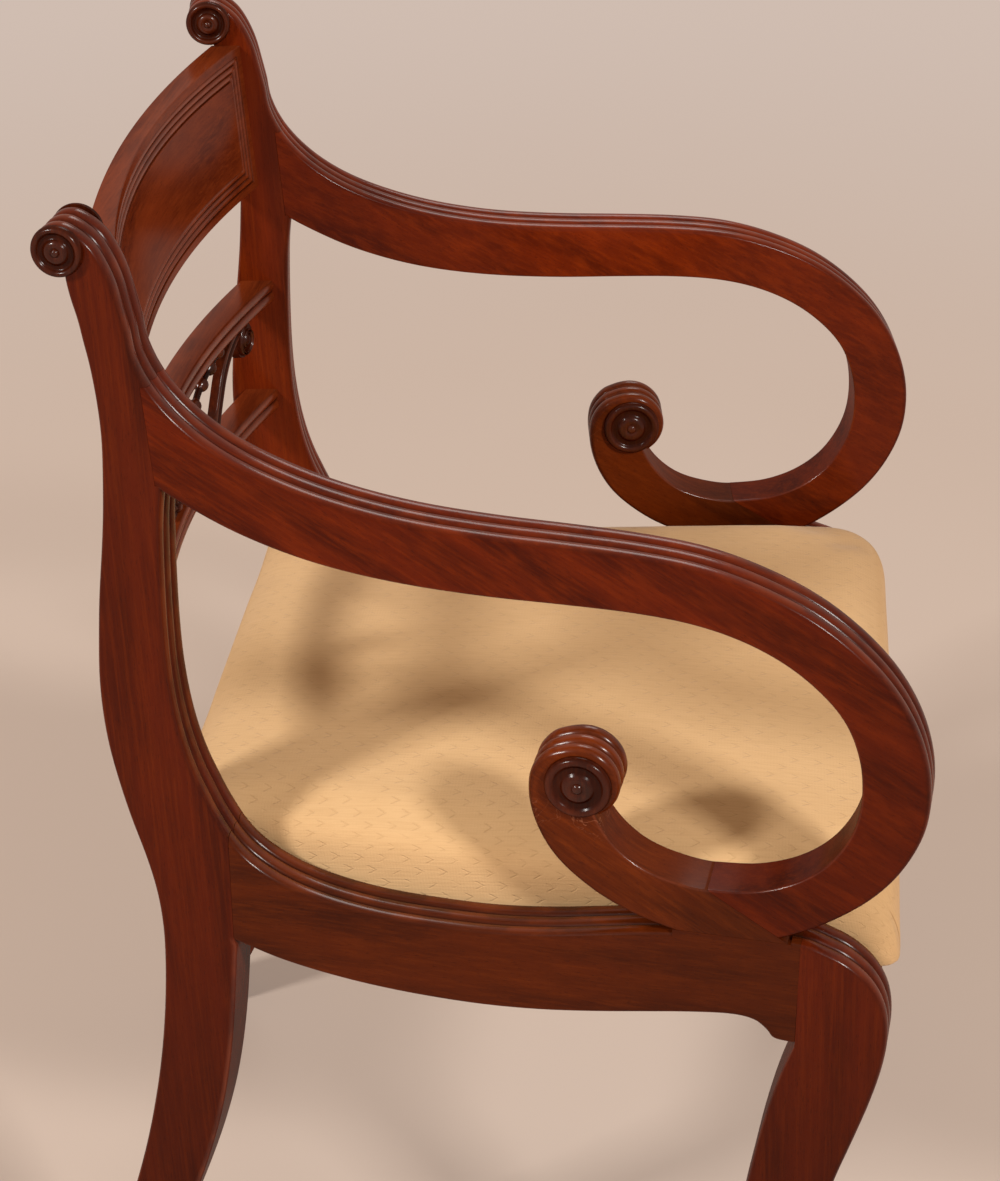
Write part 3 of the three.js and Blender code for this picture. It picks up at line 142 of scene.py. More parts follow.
for name, direction, strength, size in (
    ("lamp_behind", (-0.79, 0.96, 0.88), 190, 0.7),
    ("lamp_ahead", (-0.97, -0.93, 0.95), 190, 0.7),
    ("lamp_beyond", (0.95, -0.10, 1.1), 55, 2.0),
):
    soft_box = bpy.data.lights.new(name, "AREA")
    soft_box.shape = "SQUARE"
    soft_box.size = size
    soft_box.energy = strength
    soft_box.color = lamp_white
    lamp = bpy.data.objects.new(name, soft_box)
    towards = Vector(direction).normalized()
    lamp.matrix_world = Matrix.Translation(seat_middle + lamp_reach * towards) @ towards.to_track_quat(
        "Z", "Y"
    ).to_matrix().to_4x4()
    scene.collection.objects.link(lamp)

# Side frames. Each is five boards of solid mahogany, 32 mm thick, sawn to their outlines and joined on
# the bench: the upright with its rear leg, the arm, the arm's scroll, the seat rail and the front leg.
# Three reeds are scratched along every outer edge and run on from board to board; the inner edges are
# plain with a rubbed arris. The finish is French polish, thin and bright, dark where wax has settled.
board = 0.032
half_back, half_front, rail_length = 0.2333, 0.2761, 0.352
splay = asin((half_front - half_back) / rail_length)
shoulder_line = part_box("rear_rail")[0].y - 0.020
reed_depth = 0.0026
joint_gap = 0.00018  # a fine dark line shows at each shoulder
arris = 0.0015

# Outlines in the side's own plane, in millimetres: [outer run, outer rise, inner run, inner rise]. Run is
# forward of the rail's rear shoulder. The outer edge is the reeded one.
upright_outline = [
    (-68.6, 847.1, -78.6, 837.7), (-60.5, 840.3, -77.1, 829.2), (-54.0, 830.1, -76.0, 818.2),
    (-48.8, 817.3, -74.0, 807.1), (-45.3, 802.9, -71.0, 795.2), (-42.3, 789.3, -68.6, 781.6),
    (-38.3, 772.3, -66.0, 767.2), (-31.2, 746.7, -63.5, 745.0), (-26.8, 722.1, -62.5, 722.1),
    (-27.2, 698.3, -63.5, 698.3), (-30.2, 673.6, -65.2, 673.6), (-31.5, 648.1, -67.9, 648.1),
    (-32.1, 620.0, -71.3, 620.0), (-32.1, 592.0, -73.7, 592.0), (-30.9, 563.9, -75.4, 563.9),
    (-27.5, 535.8, -74.8, 536.7), (-21.7, 510.3, -72.0, 511.2), (-12.6, 484.8, -67.0, 485.7),
    (-3.0, 461.9, -61.4, 462.7), (3.0, 438.0, -54.4, 438.0), (4.1, 411.7, -48.8, 411.7),
    (2.0, 381.9, -46.4, 383.6), (-0.5, 350.4, -47.1, 352.1), (-3.5, 316.4, -49.7, 318.1),
    (-8.1, 280.7, -54.0, 283.2), (-14.6, 245.8, -59.9, 248.4), (-23.7, 210.9, -67.5, 212.6),
    (-34.8, 176.1, -76.6, 177.8), (-47.4, 141.2, -87.1, 142.9), (-61.0, 106.3, -99.7, 107.2),
    (-76.0, 70.6, -114.9, 71.4), (-93.2, 35.7, -132.5, 35.7), (-112.3, 0.0, -151.7, 0.0),
    (-117.5, -9.4, -156.9, -9.4),
]
arm_outline = [
    (-52.5, 812.0, -76.4, 797.0), (-43.3, 783.9, -66.4, 766.1), (-32.8, 758.1, -57.5, 729.9),
    (-14.3, 736.0, -39.5, 702.1), (10.5, 718.4, -5.9, 681.0), (41.2, 705.1, 28.1, 666.4),
    (76.4, 695.1, 66.4, 655.9), (116.8, 688.5, 110.9, 649.6), (161.3, 685.5, 159.2, 647.1),
    (205.4, 684.5, 205.4, 647.1), (245.7, 683.0, 244.9, 646.6), (282.2, 679.0, 278.0, 643.6),
    (316.3, 669.4, 306.2, 636.6), (348.6, 654.4, 331.4, 625.0), (375.9, 634.1, 352.8, 609.0),
    (396.9, 611.0, 368.8, 590.1), (411.6, 584.1, 378.0, 567.0), (419.2, 555.0, 380.9, 543.4),
    (418.7, 526.1, 378.4, 522.1), (410.3, 500.5, 370.4, 503.0), (396.1, 477.9, 358.3, 487.5),
    (376.7, 459.1, 341.0, 475.4), (352.8, 443.0, 319.2, 467.9), (324.2, 430.0, 294.0, 465.6),
]
scroll_outline = [
    (362.0, 414.4, 348.6, 464.6), (328.4, 426.0, 320.5, 467.9), (294.0, 429.0, 294.0, 465.6),
    (265.9, 435.5, 273.0, 468.9), (240.7, 445.5, 255.4, 475.4), (219.7, 459.1, 241.9, 485.5),
    (202.9, 475.4, 231.8, 498.0), (191.9, 494.5, 224.7, 512.1), (186.5, 515.1, 219.7, 524.1),
    (187.7, 533.4, 217.1, 528.6), (196.1, 546.0, 216.7, 528.9), (207.5, 551.5, 217.6, 529.4),
]
rail_outline = [
    (-18.7, 502.0, -22.2, 392.0), (-7.4, 474.0, -9.2, 386.0), (8.1, 449.0, 7.0, 380.5),
    (30.3, 432.5, 29.2, 373.0), (57.4, 422.5, 57.0, 366.8), (88.7, 416.8, 88.7, 362.2),
    (122.8, 414.8, 122.8, 359.6), (159.1, 415.0, 159.1, 359.0), (194.3, 418.5, 194.3, 361.0),
    (228.8, 424.5, 228.8, 365.3), (261.9, 430.5, 259.8, 370.3), (294.3, 434.5, 288.3, 374.8),
    (318.2, 436.0, 312.2, 377.3), (336.5, 436.2, 326.3, 375.5), (346.7, 435.8, 334.4, 369.5),
    (353.8, 435.0, 340.0, 363.5), (362.6, 433.0, 354.5, 362.3),
]
leg_outline = [
    (352.0, 435.3, 352.0, 385.0), (357.6, 434.3, 352.0, 373.0), (365.6, 431.4, 352.0, 365.0),
    (380.3, 424.7, 351.9, 361.2), (394.4, 412.5, 351.6, 359.2), (403.5, 395.9, 350.2, 354.9),
    (406.8, 375.8, 347.6, 347.0), (405.2, 351.9, 344.0, 335.2), (399.5, 323.1, 339.0, 314.8),
    (390.9, 290.8, 333.5, 286.0), (381.8, 258.1, 329.0, 255.9), (374.3, 224.1, 324.4, 224.1),
    (369.2, 190.1, 321.4, 191.0), (367.0, 155.2, 320.9, 157.0), (368.0, 119.9, 323.4, 122.1),
    (372.2, 85.0, 329.4, 85.9), (379.8, 51.0, 339.0, 51.0), (387.4, 24.9, 348.1, 24.9),
    (396.4, 0.0, 358.2, 0.0), (400.0, -9.2, 361.7, -9.2),
]
top_scroll, top_radius = Vector((-0.07904, 0.83604)), 0.0145
arm_scroll, arm_radius = Vector((0.21672, 0.52813)), 0.024
arm_joint = Vector((-0.03116, 0.69003)), Vector((-0.0383, 0.77488))
scarf = Vector((0.29316, 0.46688)), Vector((0.34062, 0.43701))
arm_flat = 0.2751, 0.34608, 0.4345


def on_side(side, inward, place):
    """A point of a side frame: inward from its outer face, at (run, rise) in its plane."""
    run, rise = place
    return Vector((
        side * (half_back - inward * cos(splay) + run * sin(splay)),
        shoulder_line - inward * sin(splay) - run * cos(splay),
        rise,
    ))


def side_way(side, run, rise):
    """A direction in the plane of a side frame."""
    return Vector((side * run * sin(splay), -run * cos(splay), rise)).normalized()


def fair(points, passes=10):
    """Takes the small kinks out of a line without pulling it in."""
    line = [Vector(p) for p in points]
    for turn in range(2 * passes):
        pull = 0.5 if turn % 2 == 0 else -0.53
        moved = [p + pull * ((a + b) / 2 - p) for a, p, b in zip(line, line[1:], line[2:])]
        line = [line[0], *moved, line[-1]]
    return line


def through(points, at):
    """A place on the smooth curve through some points, at from 0 to 1."""
    span = (len(points) - 1) * at
    k = min(int(span), len(points) - 2)
    s = span - k
    b, c = points[k], points[k + 1]
    a = points[k - 1] if k else b
    d = points[min(k + 2, len(points) - 1)]
    return (2 * b + (c - a) * s + (2 * a - 5 * b + 4 * c - d) * s * s + (3 * b - a - 3 * c + d) * s ** 3) / 2


def curl(middle, radius_from, radius_to, turn_from, turn_to, count):
    """The edge of a scroll, as (outer, inner) pairs whose inner point is the scroll's middle."""
    pairs = []
    for k in range(count):
        share = k / (count - 1)
        turn = radians(turn_from + (turn_to - turn_from) * share)
        radius = radius_from + (radius_to - radius_from) * share
        pairs.append((middle + radius * Vector((cos(turn), sin(turn))), middle.copy()))
    return pairs


def edge_pairs(outline, count, before=(), after=()):
    """(outer, inner) pairs along an outline, faired, with a scroll at either end if it has one."""
    outer = [Vector(row[:2]) / 1000 for row in outline]
    inner = [Vector(row[2:]) / 1000 for row in outline]
    pairs = [(through(outer, k / count), through(inner, k / count)) for k in range(count + 1)]
    pairs = [*before, *pairs, *after]
    return list(zip(fair([o for o, i in pairs]), fair([i for o, i in pairs])))


reed_steps, reed_swing = 9, radians(74)


def reed_at(turn):
    """A place on a reed's round section, at a turn from its crest: 0 to 1 across, and 0 to 1 down."""
    down = 1 - (cos(turn) - cos(reed_swing)) / (1 - cos(reed_swing))
    return (1 + sin(turn) / sin(reed_swing)) / 2, down


def board_section(side, outer, inner, outward, edge, soft):
    """One section through a board: over its outer edge three reeds, cut to a depth, or a plain edge with
    rubbed corners, or a sharp bed for a joint; then the inner edge, rounded by soft. Each point comes
    with how deep in a hollow it lies and how much it is rubbed."""
    section = []
    across = (outer - inner).normalized()
    face_arris = 0.001
    for reed in range(3):
        for step in range(reed_steps + (reed == 2)):
            place, share = reed_at(reed_swing * (2 * step / reed_steps - 1))
            at_face = (reed == 0 and step == 0) or step == reed_steps
            if edge == "plain":
                sink, hollow, rubbed = (face_arris, 0, 1) if at_face else (0, 0, 0.1)
            elif edge == "bed":
                sink, hollow, rubbed = 0, 0, 0
            else:
                sink, hollow, rubbed = edge * share, 0.15 if at_face else share ** 3, (1 - share) ** 3
            inward = board * (reed + place) / 3
            section.append((on_side(side, inward, outer - outward * sink), hollow, rubbed))
    below = face_arris + (reed_depth if isinstance(edge, str) else edge)
    section.append((on_side(side, board, outer - outward * below), 0, 0))
    corner = [pi / 2 * k / 3 for k in range(4)]
    for from_face, way, turns in ((board, -1, corner), (0, 1, corner[::-1])):
        for turn in turns:
            inward, lift = from_face + way * soft * (1 - cos(turn)), soft * (1 - sin(turn))
            section.append((on_side(side, inward, inner + across * lift), 0, 0.8 * sin(2 * turn)))
    section.append((on_side(side, 0, outer - outward * below), 0, 0))
    return section


def drawn(sections):
    """A skin drawn through like sections: a grid wrapped round them, its seam and its ends closed."""
    along, around = len(sections) - 1, len(sections[0])
    bm = bmesh.new()
    bmesh.ops.create_grid(bm, x_segments=along, y_segments=around, size=0.5)
    hollow = bm.verts.layers.float.new("hollow")
    rubbed = bm.verts.layers.float.new("rubbed")
    for v in bm.verts:
        section = sections[round((v.co.x + 0.5) * along)]
        v.co, v[hollow], v[rubbed] = section[round((v.co.y + 0.5) * around) % around]
    bmesh.ops.remove_doubles(bm, verts=bm.verts, dist=2e-6)
    bmesh.ops.holes_fill(bm, edges=bm.edges, sides=0)
    bmesh.ops.recalc_face_normals(bm, faces=bm.faces)
    return bm


def board_skin(side, pairs, edge=lambda p: reed_depth, soft=lambda p: arris):
    """A board's skin along its (outer, inner) pairs. edge gives the reeds' depth at a place, or names
    another shape, and soft gives the inner edge's rounding."""
    sections = []
    for k, (outer, inner) in enumerate(pairs):
        ahead = pairs[min(k + 1, len(pairs) - 1)][0]
        behind = pairs[max(k - 1, 0)][0]
        along = (ahead - behind).normalized()
        outward = Vector((-along.y, along.x))
        if outward.dot(outer - inner) < 0:
            outward.negate()
        sections.append(board_section(side, outer, inner, outward, edge(outer), soft(inner)))
    return drawn(sections)


def sawn(bm, side, place, run, rise, by=0.0, from_run=-1.0):
    """Saws off what lies past a line in the side's plane, square to (run, rise), and closes the cut. Only
    what lies forward of from_run is touched."""
    way = side_way(side, run, rise)
    faces = [f for f in bm.faces if all(v.co.y < shoulder_line - from_run for v in f.verts)]
    parts = dict.fromkeys(g for f in faces for g in (f, *f.edges, *f.verts))
    bmesh.ops.bisect_plane(
        bm, geom=list(parts), plane_co=on_side(side, 0, place) + way * by, plane_no=way,
        clear_outer=True, dist=1e-7,
    )
    bmesh.ops.holes_fill(bm, edges=[e for e in bm.edges if e.is_boundary], sides=0)


# The grain is drawn along X and turned to the board's own axis.
grain_turns = {"X": (0, 0, 0), "Y": (0, 0, pi / 2), "Z": (0, pi / 2, 0)}


def polished_mahogany(name, grain, deep, body, light, figure, lean=0.0, scuffed=0.0, painted_falloff=None):
    """French-polished mahogany, planed, its pores filled, and shellac rubbed on thin: red-brown wood with
    long silky streaks, open dark pores and a ribbon figure across them, under a soft clear gloss. Wax
    darkens its hollows, and handling pales and brightens its edges. grain is the axis that the board's
    grain runs along, lean its slope, and figure how much ribbon shows. scuffed brings out scratches of
    use. The last argument is (direction, from, to, strength) for painted shade: the board is painted
    darker along the direction, where light falls off."""
    material, tree = new_material(name)
    place = add(tree, "TexCoord", {})["Object"]
    turned = add(tree, "Mapping", {"Vector": place, "Rotation": grain_turns[grain]}, vector_type="TEXTURE")[0]
    leant = add(tree, "Mapping", {"Vector": turned, "Rotation": (0, lean, 0.04)})[0]

    # Each marking's length and width, how it breaks up, and how much of which colour it lays over the last,
    # where it passes from low to high. Real pores are 2 mm by 0.1 mm, and drawn coarse enough to show.
    colour, markings = tint(body), {}
    for marking, length, width, detail, rough, low, high, share, over in (
        ("shade", 0.16, 0.024, 3, 0.5, 0.30, 0.72, 1, deep),
        ("streaks", 0.07, 0.0022, 4, 0.62, 0.40, 0.76, 0.35, light),
        ("ribbon", 0.030, 0.0070, 2, 0.5, 0.42, 0.78, figure, light),
        ("pores", 0.006, 0.00045, 2, 0.5, 0.60, 0.70, 0.45, "#240a04"),
    ):
        drawn_out = add(tree, "Mapping", {"Vector": leant, "Scale": (1 / length, 1 / width, 1 / width)})[0]
        markings[marking] = add(
            tree, "TexNoise",
            {"Vector": drawn_out, "Scale": 1, "Detail": detail, "Roughness": rough, "Distortion": 0.25},
        )["Fac"]
        cover = add(
            tree, "MapRange",
            {"Value": markings[marking], "From Min": low, "From Max": high, "To Max": share},
            interpolation_type="SMOOTHSTEP",
        )[0]
        colour = add(tree, "Mix", {"Factor": cover, "A": colour, "B": tint(over)}, data_type="RGBA")["Result"]

    covers = []
    # Painted shade: the board is mixed darker along a direction, standing in for light that falls off there.
    if painted_falloff:
        direction, start, end, strength = painted_falloff
        reach = add(tree, "VectorMath", {0: place, 1: direction}, operation="DOT_PRODUCT")["Value"]
        covers.append((add(
            tree, "MapRange", {"Value": reach, "From Min": start, "From Max": end, "To Max": strength},
            interpolation_type="SMOOTHSTEP",
        )[0], "#1c0803"))
    hollow, rubbed = (
        add(tree, "Attribute", {}, attribute_type="GEOMETRY", attribute_name=name)["Fac"]
        for name in ("hollow", "rubbed")
    )
    covers.append((add(tree, "Math", {0: hollow, 1: 0.92}, operation="MULTIPLY")[0], "#150603"))
    # Edges are worn in patches some 26 mm across.
    patchy = add(tree, "TexNoise", {"Vector": place, "Scale": 38, "Detail": 3})["Fac"]
    worn = add(
        tree, "MapRange", {"Value": patchy, "From Min": 0.42, "From Max": 0.66, "To Max": 0.30},
        interpolation_type="SMOOTHSTEP",
    )[0]
    covers.append((add(tree, "Math", {0: rubbed, 1: worn}, operation="MULTIPLY")[0], "#8f3d16"))
    if scuffed:
        # Scuffs: thin broken lines where a drifting noise passes its middle, in spots 80 mm apart.
        drift = add(
            tree, "TexNoise",
            {"Vector": place, "Scale": 46, "Detail": 4, "Roughness": 0.62, "Distortion": 0.8},
        )["Fac"]
        centred = add(tree, "Math", {0: drift, 1: 0.5}, operation="SUBTRACT")[0]
        off_line = add(tree, "Math", {0: centred}, operation="ABSOLUTE")[0]
        spots = add(tree, "TexNoise", {"Vector": place, "Scale": 13, "Detail": 1})["Fac"]
        line, spot = (
            add(
                tree, "MapRange", {"Value": value, "From Min": low, "From Max": high, "To Max": share},
                interpolation_type="SMOOTHSTEP",
            )[0]
            for value, low, high, share in ((off_line, 0.012, 0.002, 1), (spots, 0.60, 0.68, scuffed))
        )
        covers.append((add(tree, "Math", {0: line, 1: spot}, operation="MULTIPLY")[0], "#a8694a"))
    for cover, over in covers:
        colour = add(tree, "Mix", {"Factor": cover, "A": colour, "B": tint(over)}, data_type="RGBA")["Result"]

    height = add(tree, "Math", {0: markings["pores"], 1: markings["streaks"]}, operation="ADD")[0]
    bump = add(tree, "Bump", {"Height": height, "Strength": 0.10, "Distance": 0.0004})[0]
    dulled = add(tree, "Math", {0: patchy, 1: 0.12, 2: 0.34}, operation="MULTIPLY_ADD")[0]
    # Only the film of polish mirrors: the wood under it has no gloss of its own.
    wood = add(tree, "BsdfPrincipled", {
        "Base Color": colour, "Normal": bump, "IOR": 1.5, "Specular IOR Level": 0.0, "Coat IOR": 1.6,
        "Roughness": add(tree, "Math", {0: hollow, 1: 0.25, 2: dulled}, operation="MULTIPLY_ADD")[0],
        "Coat Weight": add(tree, "Math", {0: rubbed, 1: 0.46, 2: 0.18}, operation="MULTIPLY_ADD")[0],
        "Coat Roughness": 0.20,
    })[0]
    add(tree, "OutputMaterial", {"Surface": wood})
    return material


def stand(bm, name, finish, body, *nodes, slot="mahogany", angle=40):
    """Makes a shape a piece of the chair, which moves with a body and stands for some nodes."""
    # Faces that were spun lie in no fixed order, so they are put in one, the same at every run.
    bm.faces.sort(key=lambda f: f.calc_center_median().dot((1, 0.618, 0.382)))
    mesh = bpy.data.meshes.new(name)
    bm.to_mesh(mesh)
    bm.free()
    mesh.polygons.foreach_set("use_smooth", [True] * len(mesh.polygons))
    mesh.set_sharp_from_angle(angle=radians(angle))
    mesh.materials.append(finish)
    piece = bpy.data.objects.new(name, mesh)
    scene.collection.objects.link(piece)
    faces = piece.modifiers.new("true faces", "WEIGHTED_NORMAL")
    faces.keep_sharp = True
    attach(piece, body)
    if nodes:
        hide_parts(*nodes)
    return piece


arm_wood, upright_wood = {}, {}
# The left frame's tones are lighter than the right's: painted light, for the light that falls on that side.
for hand, arm_tones, upright_tones in (
    ("left", ("#4b1303", "#6a2004", "#893106"), ("#481405", "#652008", "#80310a")),
    ("right", ("#410f02", "#5d1a03", "#7b2a04"), ("#3d1004", "#551906", "#702907")),
):
    # Each board is also painted darker towards its front and foot, as painted shade where light falls off.
    arm_wood[hand] = polished_mahogany(
        f"mahogany with the grain along the {hand} arm", "Y", *arm_tones, figure=0.34, lean=radians(30),
        painted_falloff=((0, -0.5, -0.8), -0.45 - 0.5 * shoulder_line, -0.20 - 0.5 * shoulder_line, 0.30),
    )
    upright_wood[hand] = polished_mahogany(
        f"mahogany with the grain up the {hand} legs", "Z", *upright_tones, figure=0.12,
        painted_falloff=((0, 0, -1), -0.46, -0.26, 0.34),
    )
scroll_wood = polished_mahogany(
    "mahogany with the grain along the scroll", "Y", "#421705", "#632506", "#7f360c", figure=0.24,
    lean=radians(32), scuffed=0.45,
    painted_falloff=((0, -1, -0.5), -0.01 - shoulder_line, 0.10 - shoulder_line, 0.50),
)
rail_wood = polished_mahogany(
    "mahogany with the grain along the rail", "Y", "#381204", "#4f1c05", "#692b08", figure=0.15,
    painted_falloff=((0, -1, 0), 0.18 - shoulder_line, 0.34 - shoulder_line, 0.24),
)


def joint_run(rise):
    """Where the arm's shoulder lies at a height: nearly upright, leaning back a little."""
    low, high = arm_joint
    return low.x + (high.x - low.x) * (rise - low.y) / (high.y - low.y)


def run_at(pairs, rise):
    """The outer edge's run where it first passes a height."""
    for (o, _), (p, _) in zip(pairs, pairs[1:]):
        if (o.y - rise) * (p.y - rise) <= 0 and o.y != p.y:
            return o.x + (p.x - o.x) * (rise - o.y) / (p.y - o.y)


def eased(share):
    share = min(1, max(0, share))
    return share * share * (3 - 2 * share)


def joined(parts):
    """Several skins put into one."""
    whole = bmesh.new()
    for part in parts:
        mesh = bpy.data.meshes.new("part")
        part.to_mesh(mesh)
        part.free()
        whole.from_mesh(mesh)
        bpy.data.meshes.remove(mesh)
    return whole


arm_nib, arm_foot_rise, rail_bed, rail_foot = 0.7575, 0.6962, 0.4525, 0.381
into_arm, into_rail, rail_reeds_end = 0.79, 0.5, 0.43  # where the upright's reeds run over into the next
leg_shoulder_foot = 0.3595
lap = 0.012  # each length is drawn this far past its cut, then sawn
for side, hand in ((1, "left"), (-1, "right")):
    arm_pairs = edge_pairs(arm_outline, 150)
    rail_pairs = edge_pairs(rail_outline, 110)

    # Upright: its top is rolled back into a scroll. Its reeds run down into the arm's; under the arm they
    # start again and run into the rail's. Between, its front edge is a bed for the two shoulders.
    scrolled = curl(top_scroll, top_radius, 0.0148, -80, -310, 38)
    pairs = edge_pairs(upright_outline, 150, before=scrolled)
    head, bed, neck, foot = [], [], [], []
    for k, (outer, inner) in enumerate(pairs):
        run, rise = outer
        if k < len(scrolled) or rise > arm_nib - lap:
            if k >= len(scrolled) and rise < into_arm:
                run += (run_at(arm_pairs, rise) - run) * eased((into_arm - rise) / 0.02)
            head.append((Vector((run, rise)), inner))
        run = outer.x
        if k >= len(scrolled) and arm_foot_rise - lap < rise < arm_nib + lap:
            bed.append((Vector((joint_run(rise) - joint_gap, rise)), inner))
        if k >= len(scrolled) and rail_bed - lap < rise < arm_foot_rise + lap:
            if rise < into_rail:
                by_rail = run_at(rail_pairs, max(rise, rail_reeds_end))
                run += (by_rail - run) * eased((into_rail - rise) / 0.015)
            neck.append((Vector((run, rise)), inner))
        if rise < rail_bed + lap:
            foot.append((Vector((min(outer.x, -joint_gap), rise)) if rise > rail_foot else outer, inner))
    upright_parts = []
    for length, high, low, edge in (
        (head, None, arm_nib, reed_depth), (bed, arm_nib, arm_foot_rise, "bed"),
        (neck, arm_foot_rise, rail_bed, reed_depth), (foot, rail_bed, 0, ""),
    ):
        bm = board_skin(side, length, lambda p: edge or ("bed" if p.y > rail_foot else "plain"))
        if high:
            sawn(bm, side, Vector((0, high)), 0, 1)
        sawn(bm, side, Vector((0, low)), 0, -1)
        if length is neck:
            sawn(bm, side, Vector((-joint_gap, 0)), 1, 0)
        upright_parts.append(bm)
    stand(joined(upright_parts), f"upright_{hand}", upright_wood[hand], "chair_frame", f"{hand}_upright")

    # Arm, cut to its shoulder at the back and to the scarf at the front.
    bm = board_skin(side, arm_pairs)
    across = arm_joint[1] - arm_joint[0]
    sawn(bm, side, arm_joint[0], -across.y, across.x)
    sawn(bm, side, Vector((0, arm_nib - joint_gap)), 0, 1)
    across = scarf[1] - scarf[0]
    sawn(bm, side, scarf[0], across.y, -across.x)
    stand(bm, f"arm_{hand}", arm_wood[hand], "chair_frame", f"{hand}_arm")

    # Scroll of the arm, scarfed under it: it stands on the rail and curls back inside the loop.
    scrolled = curl(arm_scroll, 0.0249, arm_radius, 109, -57, 34)
    bm = board_skin(
        side, edge_pairs(scroll_outline, 80, after=scrolled),
        lambda p: reed_depth + 0.0013 * eased((0.036 - (p - arm_scroll).length) / 0.01),
    )
    sawn(bm, side, scarf[0], -across.y, across.x, by=-joint_gap, from_run=0.275)
    sawn(bm, side, Vector((0, arm_flat[2] + joint_gap)), 0, -1)
    stand(bm, f"arm_scroll_{hand}", scroll_wood, "chair_frame", f"{hand}_arm_scroll")

    # Seat rail: its reeds are planed away where the arm stands on it.
    rail_parts = []
    for start, end, edge in (
        (0, arm_flat[0], reed_depth), (arm_flat[0], arm_flat[1], "bed"),
        (arm_flat[1], rail_length - joint_gap, reed_depth),
    ):
        length = [
            (Vector((o.x, arm_flat[2])) if edge == "bed" else o, i)
            for o, i in rail_pairs if start - 0.02 < o.x < end + 0.02
        ]
        bm = board_skin(side, length, lambda p: edge)
        sawn(bm, side, Vector((start, 0)), -1, 0)
        sawn(bm, side, Vector((end, 0)), 1, 0)
        rail_parts.append(bm)
    stand(joined(rail_parts), f"side_rail_{hand}", rail_wood, "chair_frame", f"{hand}_side_rail")

    # Front leg: its knee carries on the rail's reeds, and its shoulder is square to the rail.
    bm = board_skin(
        side, edge_pairs(leg_outline, 110), soft=lambda p: 0.0001 if p.y > leg_shoulder_foot else arris
    )
    sawn(bm, side, Vector((0, 0)), 0, -1)
    stand(bm, f"front_leg_{hand}", upright_wood[hand], "chair_frame", f"{hand}_front_leg")

# Roundels: turned mahogany buttons, glued over both faces of every scroll. Each has a bead at its rim, a
# hollow, a smaller bead and a raised dot in the middle.
roundel_profile = [
    (0, 1.0), (0.06, 0.99), (0.11, 0.93), (0.14, 0.82), (0.16, 0.74), (0.19, 0.76), (0.25, 0.84),
    (0.32, 0.86), (0.39, 0.80), (0.45, 0.66), (0.49, 0.50), (0.53, 0.40), (0.60, 0.36), (0.67, 0.38),
    (0.71, 0.44), (0.74, 0.56), (0.79, 0.70), (0.85, 0.76), (0.91, 0.72), (0.96, 0.58), (0.99, 0.38),
    (1.0, 0.24), (1.0, 0.0),
]
roundel_stand = 0.006
roundel_wood = polished_mahogany(
    "turned mahogany, darker with wax", "Z", "#270a03", "#401507", "#5e260d", figure=0.1
)
for side, hand in ((1, "left"), (-1, "right")):
    for where, middle, radius in (("top", top_scroll, 0.0150), ("arm", arm_scroll, 0.0203)):
        for face, inward, way in (("outer", -joint_gap, -1), ("inner", board + joint_gap, 1)):
            bm = bmesh.new()
            hollow = bm.verts.layers.float.new("hollow")
            rubbed = bm.verts.layers.float.new("rubbed")
            turned = [bm.verts.new((r * radius, 0, h * roundel_stand)) for r, h in roundel_profile]
            for v, (r, h) in zip(turned, roundel_profile):
                v[hollow] = max(0, 0.72 - h) * 1.3 if r < 0.97 else 0
                v[rubbed] = max(0, h - 0.55) * 2
            for a, b in zip(turned, turned[1:]):
                bm.edges.new((a, b))
            bmesh.ops.spin(
                bm, geom=bm.verts[:] + bm.edges[:], cent=(0, 0, 0), axis=(0, 0, 1), angle=2 * pi,
                steps=56, use_merge=True, use_duplicate=False,
            )
            bmesh.ops.remove_doubles(bm, verts=bm.verts, dist=1e-6)
            bmesh.ops.holes_fill(bm, edges=bm.edges, sides=0)
            out = on_side(side, inward + way, middle) - on_side(side, inward, middle)
            stood = Matrix.Translation(on_side(side, inward, middle)) @ out.normalized().to_track_quat(
                "Z", "X"
            ).to_matrix().to_4x4()
            bmesh.ops.transform(bm, matrix=stood, verts=bm.verts)
            bmesh.ops.recalc_face_normals(bm, faces=bm.faces)
            stand(
                bm, f"{where}_roundel_{face}_{hand}", roundel_wood, "chair_frame",
                f"{hand}_{where}_roundel_{face}", angle=60,
            )

# Crest rail: one board bowed backwards, tenoned between the uprights. Three reeds run round its front as
# a mitred border, and the plain field between them shows the figure.
crest_low, crest_high = 0.718, 0.82
crest_set_low, crest_set_high = 0.0455, 0.054
crest_bow, crest_end, crest_mid = 0.025, 0.019, 0.0125
border_margin, border_reed, border_depth, border_quirk = 0.0055, 0.0046, 0.0020, 0.0002
crest_arris = 0.0006


def inner_half(back):
    """Half the room between the inner faces, at a distance behind the rails' rear shoulders."""
    return half_back - board / cos(splay) - back * (half_front - half_back) / (rail_length * cos(splay))


crest_wood = polished_mahogany(
    "mahogany with the grain along the crest", "X", "#501c0b", "#702d12", "#8c3e1a", figure=0.25
)
crest_half = inner_half(crest_set_high)
bm = bmesh.new()
hollow = bm.verts.layers.float.new("hollow")
rubbed = bm.verts.layers.float.new("rubbed")
bmesh.ops.create_grid(bm, x_segments=1, y_segments=1, size=0.5)
bmesh.ops.scale(bm, vec=(2 * crest_half, crest_high - crest_low, 1), verts=bm.verts)
for v in bm.verts:
    v.co.z, v[rubbed] = -crest_arris, 0.4
field = bm.faces[:]
for inset in (crest_arris, border_margin - crest_arris):
    bmesh.ops.inset_region(bm, faces=field, thickness=inset, use_even_offset=True, use_boundary=True)
    for v in {v for f in field for v in f.verts}:
        v.co.z, v[rubbed] = 0, 0.2
bmesh.ops.inset_region(bm, faces=field, thickness=border_quirk, use_even_offset=True, use_boundary=True)
for v in {v for f in field for v in f.verts}:
    v.co.z, v[hollow], v[rubbed] = -border_depth, 1, 0
